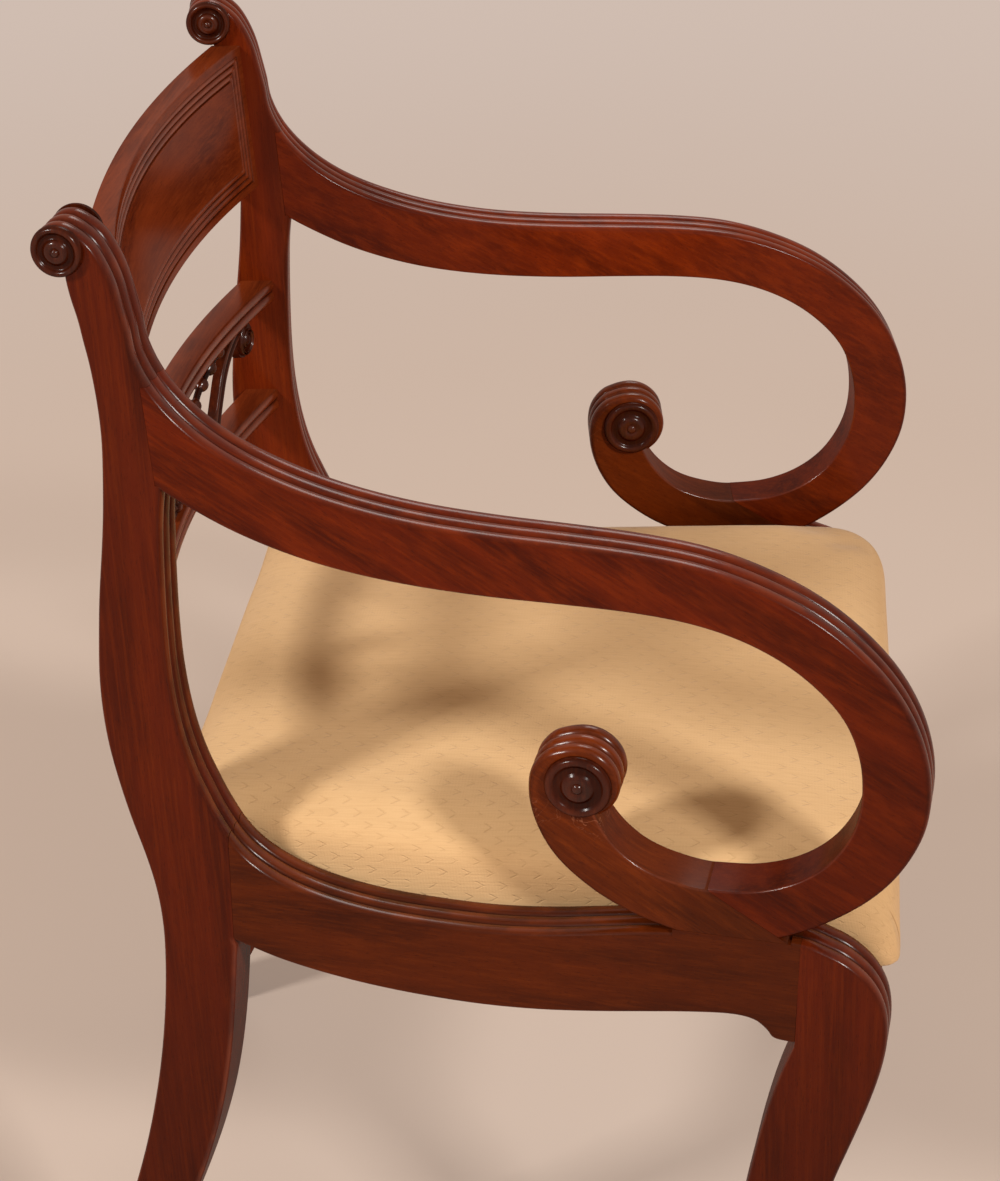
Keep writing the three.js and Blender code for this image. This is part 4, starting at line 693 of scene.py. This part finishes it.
for strip in range(3):
    for step in range(8):
        (near, _), (far, low) = (reed_at(reed_swing * (2 * k / 8 - 1)) for k in (step, step + 1))
        bmesh.ops.inset_region(
            bm, faces=field, thickness=(far - near) * border_reed, use_even_offset=True, use_boundary=True
        )
        for v in {v for f in field for v in f.verts}:
            v.co.z = -border_depth * low
            v[hollow], v[rubbed] = low ** 1.3, (1 - low) ** 3
bmesh.ops.inset_region(bm, faces=field, thickness=border_quirk, use_even_offset=True, use_boundary=True)
for v in {v for f in field for v in f.verts}:
    v.co.z, v[hollow], v[rubbed] = 0, 0, 0.12
# The back is planed to the bow, thinner in the middle; behind marks it until the board is bent.
behind = -1
grown = bmesh.ops.extrude_edge_only(bm, edges=[e for e in bm.edges if e.is_boundary])
for v in grown["geom"]:
    if isinstance(v, bmesh.types.BMVert):
        v.co.z, v[hollow], v[rubbed] = behind, 0, 0.15
bmesh.ops.holes_fill(bm, edges=bm.edges, sides=0)
bends = 72
for k in range(1, bends):
    bmesh.ops.bisect_plane(
        bm, geom=bm.verts[:] + bm.edges[:] + bm.faces[:], plane_co=((2 * k / bends - 1) * crest_half, 0, 0),
        plane_no=(1, 0, 0), dist=1e-7,
    )
for v in bm.verts:
    x, rise, depth = v.co.x, v.co.y + (crest_high + crest_low) / 2, -v.co.z
    reach = 1 - (x / crest_half) ** 2
    share = (rise - crest_low) / (crest_high - crest_low)
    front = crest_set_low + (crest_set_high - crest_set_low) * share + crest_bow * reach
    if depth > -behind / 2:
        depth = crest_end + (crest_mid - crest_end) * reach
    fit = (inner_half(front + depth) - joint_gap) / crest_half
    v.co = Vector((x * fit, shoulder_line + front + depth, rise))
bmesh.ops.recalc_face_normals(bm, faces=bm.faces)
stand(bm, "crest", crest_wood, "chair_frame", "crest_rail")

# Cross rails: two narrow rails bowed like the crest, each with two reeds on its front, tenoned between
# the uprights above and below the lyre.
cross_set, cross_bow, cross_end, cross_mid = 0.038, 0.028, 0.024, 0.019
cross_height, cross_reed_depth, cross_arris = 0.0165, 0.0018, 0.001
cross_tops = {"upper": 0.647, "lower": 0.562}


def cross_front(x):
    """How far behind the shoulder line the cross rails' front stands."""
    return cross_set + cross_bow * (1 - (x / inner_half(cross_set)) ** 2)


for name, top in cross_tops.items():
    sections = []
    for k in range(61):
        share = 1 - k / 30
        depth = cross_end + (cross_mid - cross_end) * (1 - share * share)
        section, line = [], []
        for reed in range(2):
            for step in range(reed_steps + (reed == 1)):
                place, low = reed_at(reed_swing * (2 * step / reed_steps - 1))
                at_face = (reed == 0 and step == 0) or step == reed_steps
                rise = (reed + place) / 2 * cross_height
                line.append((cross_reed_depth * low, rise, 0.15 if at_face else low ** 2, (1 - low) ** 3))
        for d, h in (
            (depth - cross_arris, cross_height), (depth, cross_height - cross_arris), (depth, cross_arris),
            (depth - cross_arris, 0),
        ):
            line.append((d, h, 0, 0.6))
        for d, h, low, worn in line:
            x = share * inner_half(cross_set)
            y = cross_front(x) + d
            x = share * (inner_half(y) - joint_gap)
            section.append((Vector((x, shoulder_line + y, top - cross_height + h)), low, worn))
        sections.append(section)
    stand(drawn(sections), f"cross_rail_{name}", crest_wood, "chair_frame", f"{name}_cross_rail")

# Lyre: carved from thin mahogany and let in between the cross rails. Each arm is a grooved stem that
# rolls into a volute under the upper rail, with a string of graduated pearls falling from it to a boss
# in the middle, where three strings rise.
lyre_low, lyre_high = cross_tops["lower"] + joint_gap, cross_tops["upper"] - cross_height - joint_gap
lyre_rise = lyre_high - lyre_low
lyre_span = 0.16
lyre_set, lyre_thick = 0.0045, 0.007
volute_middle, volute_radius = Vector((0.1595, lyre_high - 0.0142)), 0.0142
volute_start, volute_rim, volute_eye = 0.0042, 0.0020, 0.0044
pearl_count, per_pearl, pearl_radius, pearl_taper, neck = 7, 14, 0.0056, 0.0014, 0.0024
carved_wood = polished_mahogany(
    "carved mahogany, dark in its hollows", "Z", "#240c05", "#3c1407", "#5a240e", figure=0.1
)


def in_lyre(x, rise, depth):
    """A place in the lyre's thin curved board, depth behind its front."""
    return Vector((x, shoulder_line + cross_front(x) + lyre_set + depth, rise))


stem_line = [
    Vector((across * lyre_span, lyre_low + rise * lyre_rise))
    for across, rise in (
        (0.93, 0.955), (0.865, 0.89), (0.79, 0.76), (0.735, 0.62), (0.695, 0.47), (0.655, 0.31),
        (0.62, 0.15), (0.6, 0.0),
    )
]
pearl_line = [
    Vector((across * lyre_span, lyre_low + rise * lyre_rise))
    for across, rise in (
        (0.745, 0.985), (0.66, 0.9), (0.55, 0.835), (0.44, 0.745), (0.335, 0.58), (0.235, 0.36),
        (0.165, 0.2), (0.13, 0.16),
    )
]
for side, hand in ((1, "left"), (-1, "right")):
    spiral = []
    for k in range(61):
        share = k / 60
        turn = radians(590 - 510 * share)
        radius = volute_start + (volute_radius - volute_rim - volute_start) * share
        spiral.append(volute_middle + radius * Vector((cos(turn), sin(turn))))
    path = [*spiral, *(through(stem_line, k / 40) for k in range(1, 41))]
    path = fair(path, 6)
    sections = []
    for k, p in enumerate(path):
        along = (path[min(k + 1, len(path) - 1)] - path[max(k - 1, 0)]).normalized()
        out = Vector((-along.y, along.x))
        share = k / (len(path) - 1)
        half = 0.0015 + 0.0040 * eased((share - 0.45) / 0.3) + 0.0008 * max(0, (share - 0.85) / 0.15)
        lift = 0.0016 * min(1, max(0, (0.7 - share) / 0.2))
        section = []
        for s, d, low, worn in (
            (-1, lyre_thick, 0, 0), (-1, 0.0013, 0, 0.2), (-0.85, 0.0004, 0, 0.8), (-0.6, 0, 0, 0.8),
            (-0.32, 0.0005, 0.2, 0.1), (-0.12, 0.0018, 0.9, 0), (0, 0.0023, 1, 0), (0.12, 0.0018, 0.9, 0),
            (0.32, 0.0005, 0.2, 0.1), (0.6, 0, 0, 0.8), (0.85, 0.0004, 0, 0.8), (1, 0.0013, 0, 0.2),
            (1, lyre_thick, 0, 0),
        ):
            q = p + out * half * s
            rise = min(max(q.y, lyre_low), lyre_high)
            section.append((in_lyre(side * q.x, rise, d - lift if d < lyre_thick else d), low, worn))
        sections.append(section)
    bm = drawn(sections)
    disc = bmesh.ops.create_cone(
        bm, cap_ends=True, segments=40, radius1=volute_radius - 0.001, radius2=volute_radius - 0.0016,
        depth=lyre_thick - 0.0016,
    )
    eye = bmesh.ops.create_uvsphere(bm, u_segments=24, v_segments=14, radius=volute_eye)
    bmesh.ops.scale(bm, vec=(1, 1, 0.75), verts=eye["verts"])
    bmesh.ops.translate(bm, vec=(0, 0, lyre_thick / 2), verts=eye["verts"])
    for v in disc["verts"] + eye["verts"]:
        depth = lyre_thick / 2 + 0.0008 - v.co.z
        v.co = in_lyre(side * (volute_middle.x + v.co.x), volute_middle.y + v.co.y, depth)
    bmesh.ops.recalc_face_normals(bm, faces=bm.faces)
    stand(bm, f"lyre_arm_{hand}", carved_wood, "chair_frame", f"{hand}_lyre_arm", slot="carved_mahogany")

    # Each string of pearls is carved in one with the short necks between them.
    hung = fair([through(pearl_line, 0.985 * k / 24) for k in range(25)], 6)
    points = [through(hung, k / (pearl_count * per_pearl)) for k in range(pearl_count * per_pearl + 1)]
    sections = []
    for k, p in enumerate(points):
        along = (points[min(k + 1, len(points) - 1)] - points[max(k - 1, 0)]).normalized()
        nearest = (k // per_pearl + 0.5) * per_pearl
        middle = points[min(int(nearest), len(points) - 1)]
        size = pearl_radius - pearl_taper * k / len(points)
        off = (p - middle).length
        bulge = sqrt(size * size - off * off) if off < size else 0
        girth = max(bulge, neck)
        section = []
        for step in range(18):
            turn = 2 * pi * step / 18
            q = p + Vector((-along.y, along.x)) * girth * cos(turn)
            depth = lyre_thick / 2 + girth * sin(turn)
            low = 0.9 if bulge < neck else 0
            rise = min(max(q.y, lyre_low), lyre_high)
            section.append((in_lyre(side * q.x, rise, depth), low, 0.5 - 0.5 * low))
        sections.append(section)
    stand(
        drawn(sections), f"pearls_{hand}", carved_wood, "chair_frame", f"{hand}_pearl_strand",
        slot="carved_mahogany",
    )

# Boss of the lyre: half a rosette of seven petals round a bead, carved in one piece and planted on the
# middle of the lower rail.
low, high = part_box("lyre_boss")
boss_half, boss_rise, boss_thick = high.x, high.z - low.z, high.y - low.y
petals, per_petal, bead_reach, petal_reach = 7, 14, 0.30, 0.62
sections = []
for k in range(petals * per_petal + 1):
    turn = pi * k / (petals * per_petal)
    at_edge = abs(2 * (k / per_petal % 1) - 1)
    scallop = 1 - 0.09 * at_edge ** 2
    section = [(0, boss_thick, 0, 0), (scallop, boss_thick, 0, 0)]
    for step in range(17):
        reach = 1 - step / 16
        if reach > bead_reach:
            petal = 1 - 0.75 * (petal_reach - reach) / (petal_reach - bead_reach)
            if reach > petal_reach:
                petal = sin(pi * min(1, (1 - reach) / 0.45 + 0.12))
            sunk = 0.0034 - 0.0028 * max(0, petal) * (1 - 0.75 * at_edge ** 2)
        else:
            sunk = 0.0016 * (reach / bead_reach) ** 2
        section.append((scallop * reach, sunk, min(1, sunk / 0.003) ** 2, 1 - min(1, sunk / 0.0012)))
    sections.append([
        (
            Vector((boss_half * reach * cos(turn), low.y + depth, low.z + boss_rise * reach * sin(turn))),
            dark, worn,
        )
        for reach, depth, dark, worn in section
    ])
stand(
    drawn(sections), "lyre_boss_rosette", carved_wood, "chair_frame", "lyre_boss", slot="carved_mahogany",
    angle=60,
)

# Strings of the lyre, and the rails under the front and back of the seat: plain pieces, taken from the
# frame as they are.
for name in ("lyre_string_left", "lyre_string_centre", "lyre_string_right"):
    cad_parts[name].data.materials[0] = carved_wood
for name in ("front_rail", "rear_rail"):
    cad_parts[name].data.materials[0] = crest_wood

# Hidden joinery: corner blocks, ledges, dowels and the seat's frame, and the screws that hold the blocks and
# the arms. They are taken from the frame as they are.
# Beech, planed and left bare: pale tan, with grain drawn out 110 mm long and 4 mm wide, short flecks 2.4 mm
# apart, and hardly any gloss.
beech, tree = new_material("planed beech")
place = add(tree, "TexCoord", {})["Object"]
drawn_out = add(tree, "Mapping", {"Vector": place, "Scale": (1 / 0.11111, 1 / 0.0038462, 1 / 0.0038462)})[0]
grain = add(tree, "TexNoise", {"Vector": drawn_out, "Scale": 1, "Detail": 4, "Distortion": 0.4})["Fac"]
flecks = add(tree, "TexNoise", {"Vector": place, "Scale": 1 / 0.002381, "Detail": 2})["Fac"]
tone = add(tree, "Mix", {"Factor": grain, "A": tint("#b98c5e"), "B": tint("#8f6238")}, data_type="RGBA")
bump = add(tree, "Bump", {"Height": flecks, "Strength": 0.2, "Distance": 0.0004})[0]
bare = add(tree, "BsdfPrincipled", {"Base Color": tone["Result"], "Normal": bump, "Roughness": 0.62})[0]
add(tree, "OutputMaterial", {"Surface": bare})

# Mild steel, turned and slotted, gone dull in the wood: grey metal with brownish tarnish in spots 1.7 mm
# across.
screw_steel, tree = new_material("dull screw steel")
place = add(tree, "TexCoord", {})["Object"]
tarnish = add(tree, "TexNoise", {"Vector": place, "Scale": 1 / 0.0016667, "Detail": 3})["Fac"]
tone = add(tree, "Mix", {"Factor": tarnish, "A": tint("#8b8a86"), "B": tint("#5d5a55")}, data_type="RGBA")
steel = add(tree, "BsdfPrincipled", {"Base Color": tone["Result"], "Metallic": 1, "Roughness": 0.42})[0]
add(tree, "OutputMaterial", {"Surface": steel})

for name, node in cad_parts.items():
    if "block" in name or "ledge" in name or "dowel" in name or name.endswith("_bar"):
        node.data.materials[0] = beech
    elif name.endswith("screw"):
        node.data.materials[0] = screw_steel

# Seat: a beech frame stuffed with horsehair and covered in a cream wool rep, which is drawn over the sides
# and tacked underneath. It drops in between the rails and rests on ledges.
seat_back, seat_front = shoulder_line + 0.044, shoulder_line - 0.412
seat_low, seat_crown, seat_corner, seat_roll = 0.4003, 0.0135, 0.076, 0.0525
clearance = 0.0022


def seat_half(y):
    """Half the pad's width at a place from back to front."""
    return inner_half(y - shoulder_line) - clearance


# Wool rep, woven with ribs and stretched tight: matt cream with slubs, a faint fuzz and soft sheen, and
# small arrow marks in staggered rows that point forward. Years of use have soiled it in broad patches.
# Its ribs are 1.3 mm apart and its picks 1 mm, drawn twice as coarse so that they show.
cream_rep, tree = new_material("cream wool rep with woven arrows")
rib_pitch, pick_pitch = 0.002566, 0.0019739
arrow_pitch_across, arrow_pitch_along, arrow_slope = 0.0092, 0.0150, 0.95
wave_pitch = pi / 10  # between the bands of a wave texture at scale 1
place = add(tree, "TexCoord", {})["Object"]
# The cover carries its own threads' places, so that the weave runs over the edges as the cloth does. fold
# is the way round to the tuck at each front corner, and wall is 1 on the sides.
laid_across, laid_along, to_fold, on_wall = (
    add(tree, "Attribute", {}, attribute_type="GEOMETRY", attribute_name=name)["Fac"]
    for name in ("across", "along", "fold", "wall")
)
sway = add(tree, "TexNoise", {"Vector": place, "Scale": 9, "Detail": 2})["Fac"]
across = add(tree, "Math", {0: sway, 1: 0.004, 2: laid_across}, operation="MULTIPLY_ADD")[0]
along = add(tree, "Math", {0: sway, 1: 0.003, 2: laid_along}, operation="MULTIPLY_ADD")[0]
laid = add(tree, "CombineXYZ", {"X": across, "Y": along})[0]
# An arrow is where the run, less what the wing falls back, comes round to the middle of its pitch.
row = add(tree, "Math", {0: across, 1: 1 / arrow_pitch_across, 2: 99.5}, operation="MULTIPLY_ADD")[0]
wing = add(tree, "Math", {0: row, 1: 0.5}, operation="PINGPONG")[0]
row = add(tree, "Math", {0: row}, operation="ROUND")[0]
odd = add(tree, "Math", {0: row, 1: 2}, operation="MODULO")[0]
run = add(tree, "Math", {0: along, 1: 1 / arrow_pitch_along, 2: 100.5}, operation="MULTIPLY_ADD")[0]
run = add(tree, "Math", {0: odd, 1: 0.5, 2: run}, operation="MULTIPLY_ADD")[0]
run = add(tree, "Math", {0: wing, 1: -arrow_slope, 2: run}, operation="MULTIPLY_ADD")[0]
shaft = add(tree, "Math", {0: run, 1: 0.5}, operation="PINGPONG")[0]
gaps = add(tree, "TexNoise", {"Vector": laid, "Scale": 60, "Detail": 2})["Fac"]
# Slubs are 25 mm long and 1.1 mm wide.
slub_place = add(tree, "Mapping", {"Vector": laid, "Scale": (1 / 0.0011111, 1 / 0.025, 1)})[0]
slubs = add(tree, "TexNoise", {"Vector": slub_place, "Scale": 1, "Detail": 3})["Fac"]
off_fold = add(tree, "Math", {0: to_fold}, operation="ABSOLUTE")[0]
# Each of these is 1 where its value is small, and falls smoothly to 0.
on_shaft, on_wing, unbroken, on_slub, in_fold_crease_shade, by_fold = (
    add(
        tree, "MapRange", {"Value": value, "From Min": none, "From Max": full},
        interpolation_type="SMOOTHSTEP",
    )[0]
    for value, full, none in (
        (shaft, 0.03, 0.08), (wing, 0.28, 0.36), (gaps, 0.48, 0.66), (slubs, 0.35, 0.6),
        (off_fold, 0.0003, 0.0012), (off_fold, 0.001, 0.006),
    )
)
ribs, picks = (
    add(
        tree, "TexWave", {"Vector": laid, "Scale": wave_pitch / pitch}, wave_type="BANDS",
        bands_direction=direction,
    )["Fac"]
    for pitch, direction in ((rib_pitch, "X"), (pick_pitch, "Y"))
)
stroke = add(tree, "Math", {0: on_shaft, 1: on_wing}, operation="MULTIPLY")[0]
# The fold mask carries a painted shade line in the crease of each front corner's tuck.
stroke, crossing, fold, beside_fold = (
    add(tree, "Math", {0: one, 1: other}, operation="MULTIPLY")[0]
    for one, other in ((stroke, unbroken), (ribs, picks), (in_fold_crease_shade, on_wall), (by_fold, on_wall))
)
fuzz = add(tree, "TexNoise", {"Vector": place, "Scale": 1 / 0.0011111, "Detail": 3})["Fac"]
soiled = add(tree, "TexNoise", {"Vector": place, "Scale": 1 / 0.16667, "Detail": 4, "Roughness": 0.6})["Fac"]
tone = add(tree, "Mix", {"Factor": soiled, "A": tint("#e0bb8b"), "B": tint("#d2aa79")}, data_type="RGBA")
darker, relief = 0, 0
# Darkening: slubs, thread crossings and arrow strokes, and painted shade along the crease of each corner's
# tuck.
for pattern, dark, height in (
    (ribs, 0, 0.15), (picks, 0, 0.15), (crossing, 0.02, 0), (on_slub, 0.12, 0), (slubs, 0, 0.8),
    (fuzz, 0, 0.5), (stroke, 0.14, -1.5), (fold, 0.8, 0), (beside_fold, 0, -5),
):
    if dark:
        darker = add(tree, "Math", {0: pattern, 1: dark, 2: darker}, operation="MULTIPLY_ADD")[0]
    if height:
        relief = add(tree, "Math", {0: pattern, 1: height, 2: relief}, operation="MULTIPLY_ADD")[0]
shade = add(
    tree, "Mix", {"Factor": darker, "A": tone["Result"], "B": tint("#ad7f4d")}, data_type="RGBA"
)["Result"]
bump = add(tree, "Bump", {"Height": relief, "Strength": 0.45, "Distance": 0.0005})[0]
cloth = add(tree, "BsdfPrincipled", {
    "Base Color": shade, "Normal": bump,
    "Roughness": 0.85, "Specular IOR Level": 0.2, "Sheen Weight": 0.15, "Sheen Roughness": 0.5,
})[0]
add(tree, "OutputMaterial", {"Surface": cloth})

# The stuffed form: the frame's plan with its corners rounded, raised to the edge roll.
bm = bmesh.new()
plan = [
    bm.verts.new((x * seat_half(y), y, seat_low))
    for x, y in ((-1, seat_front), (1, seat_front), (1, seat_back), (-1, seat_back))
]
bm.faces.new(plan)
for y, offset in ((seat_front, 0.017), (seat_back, 0.009)):
    corners = [v for v in bm.verts if abs(v.co.y - y) < 1e-5 and abs(v.co.x) > seat_half(y) - 1e-5]
    bmesh.ops.bevel(
        bm, geom=corners, affect="VERTICES", offset=offset, offset_type="OFFSET", segments=10,
        profile=0.5, material=-1,
    )
wall = [(0.0, 0.012), (0.0006, 0.024), (0.0004, 0.038)]
rolled = [
    (0.014 * (1 - cos(turn)), 0.038 + (seat_roll - 0.038) * sin(turn))
    for turn in (radians(degrees) for degrees in range(15, 91, 15))
]
top = bm.faces[:]
inset_before = 0
for inset, height in (*wall, *rolled):
    grown = bmesh.ops.extrude_face_region(bm, geom=top)
    if top[0].is_valid and height > wall[0][1]:
        bmesh.ops.delete(bm, geom=top, context="FACES_ONLY")
    top = [f for f in grown["geom"] if isinstance(f, bmesh.types.BMFace)]
    if inset > inset_before:
        bmesh.ops.inset_region(bm, faces=top, thickness=inset - inset_before, use_even_offset=True)
    for v in {v for f in top for v in f.verts}:
        v.co.z = seat_low + height
    inset_before = max(inset, inset_before)
bmesh.ops.recalc_face_normals(bm, faces=bm.faces)
mesh = bpy.data.meshes.new("seat_cover")
bm.to_mesh(mesh)
bm.free()
cover = bpy.data.objects.new("seat_cover", mesh)
scene.collection.objects.link(cover)


def settle(piece):
    """Replaces a piece's mesh by what its modifiers make of it."""
    made = bpy.data.meshes.new_from_object(piece.evaluated_get(bpy.context.evaluated_depsgraph_get()))
    piece.modifiers.clear()
    piece.data = made


seat_middle_y, seat_half_length = (seat_front + seat_back) / 2, (seat_back - seat_front) / 2
crown_from, crown_over = 0.030, 0.018
remesh = cover.modifiers.new("even faces", "REMESH")
remesh.mode = "VOXEL"
remesh.voxel_size = 0.0055
settle(cover)
for v in cover.data.vertices:
    a = min(1, abs(v.co.x) / seat_half(v.co.y))
    b = min(1, abs(v.co.y - seat_middle_y) / seat_half_length)
    up = min(1, max(0, (v.co.z - seat_low - crown_from) / crown_over))
    v.co.z += seat_crown * up * (1 - a ** 2) * (1 - b ** 2.2)
    # The corners of the frame are nearly square; the stuffing rounds them off towards the top.
    past_x = abs(v.co.x) - seat_half(v.co.y) + seat_corner
    past_y = seat_front + seat_corner - v.co.y
    if past_x > 0 and past_y > 0:
        reach = sqrt(past_x ** 2 + past_y ** 2)
        if reach > seat_corner:
            pull = (1 - seat_corner / reach) * eased((v.co.z - seat_low - 0.010) / 0.042)
            v.co.x -= past_x * pull * (1 if v.co.x > 0 else -1)
            v.co.y += past_y * pull
            v.co.z -= (reach - seat_corner) * 0.25 * up
    if v.co.z < seat_low + 0.004:
        v.co.z = seat_low
# Stuffing pushes the cover out; it is held underneath, where it is tacked.
tacked = cover.vertex_groups.new(name="tacked")
tacked.add([v.index for v in cover.data.vertices if v.co.z < seat_low + 0.003], 1, "REPLACE")
before = [v.co.copy() for v in cover.data.vertices]
most_swell, most_sink = 0.005, 0.0008
stuffed = cover.modifiers.new("stuffing", "CLOTH")
stuffed.settings.use_pressure = True
stuffed.settings.uniform_pressure_force = 4
stuffed.settings.vertex_group_mass = "tacked"
stuffed.settings.effector_weights.gravity = 0
stuffed.settings.tension_stiffness = 25
stuffed.settings.compression_stiffness = 25
stuffed.settings.bending_stiffness = 2
stuffed.settings.quality = 6
for step in range(1, 21):
    scene.frame_set(step)
settle(cover)
for v, start in zip(cover.data.vertices, before):
    moved = (v.co - start) * Vector((0.1, 0.1, 1))
    moved.z = max(moved.z, -most_sink)
    v.co = start + moved * min(1, most_swell / max(moved.length, 1e-9))
scene.frame_set(1)
bm = bmesh.new()
bm.from_mesh(cover.data)
for turn in range(6):
    bmesh.ops.smooth_vert(
        bm, verts=[v for v in bm.verts if v.co.z > seat_low + 0.006], factor=0.5,
        use_axis_x=True, use_axis_y=True, use_axis_z=True,
    )
for v in bm.verts:
    limit = seat_half(v.co.y)
    v.co.x = min(limit, max(-limit, v.co.x))
    v.co.y = min(seat_back, max(seat_front, v.co.y))
# Where each thread lies: as on the flat, and further out by the drop where the cloth turns down.
across_place = bm.verts.layers.float.new("across")
along_place = bm.verts.layers.float.new("along")
fold_place = bm.verts.layers.float.new("fold")
wall_place = bm.verts.layers.float.new("wall")
bm.normal_update()
fold_radius, fold_turn = 0.03, radians(62)
fold_middle = Vector((seat_half(seat_front + fold_radius) - fold_radius, seat_front + fold_radius))
for v in bm.verts:
    level = Vector((v.normal.x, v.normal.y))
    drop = max(0, seat_low + seat_roll - v.co.z) * (1 if v.normal.z > -0.5 else 0)
    v[across_place] = v.co.x + level.x * drop
    v[along_place] = v.co.y + level.y * drop
    # How far round the front corner from its tucked fold.
    turned_by = atan2(fold_middle.y - v.co.y, abs(v.co.x) - fold_middle.x)
    v[fold_place] = fold_radius * (turned_by - fold_turn)
    v[wall_place] = eased((drop - 0.020) / 0.010)
# The cover ends underneath in a lip; the base cloth closes the rest.
lip = 0.022
within_lip = [
    f for f in bm.faces if all(
        v.co.z < seat_low + 0.002 and abs(v.co.x) < seat_half(v.co.y) - lip
        and seat_front + lip < v.co.y < seat_back - lip for v in f.verts
    )
]
bmesh.ops.delete(bm, geom=within_lip, context="FACES")
bm.to_mesh(cover.data)
bm.free()
cover.data.materials.clear()
cover.data.materials.append(cream_rep)
cover.data.polygons.foreach_set("use_smooth", [True] * len(cover.data.polygons))
thickness = cover.modifiers.new("cloth and wadding", "SOLIDIFY")
thickness.thickness = 0.0014
thickness.offset = -1
finer = cover.modifiers.new("rounder", "SUBSURF")
finer.levels = finer.render_levels = 1
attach(cover, "drop_in_seat")
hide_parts("seat_pad")

# Under the cover: jute webbing stretched across the frame and interlaced, hessian over it, and a black
# base cloth that closes the underside. All three are tacked to the bars.
# Jute, plainly woven from coarse yarn: dull brown and rough, with a painted highlight that makes the crests of
# its threads paler. They are 1.8 mm apart, drawn twice as coarse.
jute, tree = new_material("jute")
place = add(tree, "TexCoord", {})["Object"]
warp, weft = (
    add(
        tree, "TexWave", {"Vector": place, "Scale": wave_pitch / 0.003553}, wave_type="BANDS",
        bands_direction=direction,
    )["Fac"]
    for direction in "XY"
)
woven = add(tree, "Math", {0: warp, 1: weft}, operation="MULTIPLY")[0]
# Painted highlight: the crests of the threads are mixed paler.
tone = add(tree, "Mix", {"Factor": woven, "A": tint("#6f5434"), "B": tint("#b3905f")}, data_type="RGBA")
bump = add(tree, "Bump", {"Height": woven, "Strength": 0.5, "Distance": 0.0006})[0]
coarse = add(tree, "BsdfPrincipled", {"Base Color": tone["Result"], "Normal": bump, "Roughness": 0.9})[0]
add(tree, "OutputMaterial", {"Surface": coarse})

# Cotton, woven close and dyed black: dull, with dust in patches 70 mm across. Its threads, 0.5 mm apart, are
# drawn four times as coarse.
base_black, tree = new_material("black cotton base cloth")
place = add(tree, "TexCoord", {})["Object"]
warp = add(
    tree, "TexWave", {"Vector": place, "Scale": wave_pitch / 0.0019739}, wave_type="BANDS", bands_direction="X"
)["Fac"]
dust = add(tree, "TexNoise", {"Vector": place, "Scale": 1 / 0.071429, "Detail": 4})["Fac"]
tone = add(tree, "Mix", {"Factor": dust, "A": tint("#2b2623"), "B": tint("#46403a")}, data_type="RGBA")
bump = add(tree, "Bump", {"Height": warp, "Strength": 0.3, "Distance": 0.0003})[0]
cotton = add(tree, "BsdfPrincipled", {"Base Color": tone["Result"], "Normal": bump, "Roughness": 0.92})[0]
add(tree, "OutputMaterial", {"Surface": cotton})


def cloth_piece(bm, name, node, finish):
    """Makes a thin skin a sheet of cloth, stretched over the seat's front and rear bars."""
    mesh = bpy.data.meshes.new(name)
    bm.to_mesh(mesh)
    bm.free()
    mesh.polygons.foreach_set("use_smooth", [True] * len(mesh.polygons))
    mesh.materials.append(finish)
    piece = bpy.data.objects.new(name, mesh)
    scene.collection.objects.link(piece)
    thick = piece.modifiers.new("cloth thickness", "SOLIDIFY")
    thick.thickness, thick.offset = 0.0006, 0
    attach(piece, "drop_in_seat")
    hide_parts(node)


# Base cloth and hessian: each is as wide as the frame at each place. in_from_wall is how far its sides stay
# within the side frames' inner faces, and sag how far its middle hangs.
for name, node, finish, slot, in_from_wall, sag in (
    ("base_cloth", "seat_base_cloth", base_black, "base_cloth", 0.0395, -0.0006),
    ("hessian", "seat_hessian", jute, "jute", 0, 0),
):
    low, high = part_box(node)
    taper = (inner_half(high.y - shoulder_line) - in_from_wall) / (
        inner_half(low.y - shoulder_line) - in_from_wall
    )
    level = high.z - 0.0004 if sag else (low.z + high.z) / 2
    bm = bmesh.new()
    bmesh.ops.create_grid(bm, x_segments=36, y_segments=32, size=0.5)
    for v in bm.verts:
        u, w = v.co.x * 2, v.co.y + 0.5
        half = high.x * (1 + (taper - 1) * w)
        v.co = Vector((u * half, low.y + (high.y - low.y) * w, level + sag * (1 - u * u) * 4 * w * (1 - w)))
    bmesh.ops.recalc_face_normals(bm, faces=bm.faces)
    cloth_piece(
        bm, name, node, finish
    )

# Webbing: three strips from front to back and three across, woven over and under each other.
low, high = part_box("seat_webbing")
strip_half, strip_lift, strips_in = 0.024, 0.0004, 0.036
middle_z = (low.z + high.z) / 2
crossing_runs = [low.y + (high.y - low.y) * share for share in (0.2, 0.5, 0.8)]
crossing_places = [-0.13, 0, 0.13]
bm = bmesh.new()
for lengthwise, fixed_places, crossings in (
    (True, crossing_places, crossing_runs), (False, crossing_runs, crossing_places),
):
    for k, fixed in enumerate(fixed_places):
        start, end = low.y, high.y
        if not lengthwise:
            end = high.x * (inner_half(fixed - shoulder_line) - strips_in) / (
                inner_half(low.y - shoulder_line) - strips_in
            )
            start = -end
        strip = bmesh.ops.create_grid(bm, x_segments=90, y_segments=6, size=0.5)
        for v in strip["verts"]:
            along = start + (end - start) * (v.co.x + 0.5)
            aside_by = fixed + v.co.y * 2 * strip_half
            level = middle_z
            for c, crossed_at in enumerate(crossings):
                over = 1 if (k + c) % 2 == (0 if lengthwise else 1) else -1
                level += over * strip_lift * eased(1.9 - abs(along - crossed_at) / strip_half)
            v.co = Vector((aside_by, along, level) if lengthwise else (along, aside_by, level))
bmesh.ops.recalc_face_normals(bm, faces=bm.faces)
cloth_piece(bm, "webbing", "seat_webbing", jute)
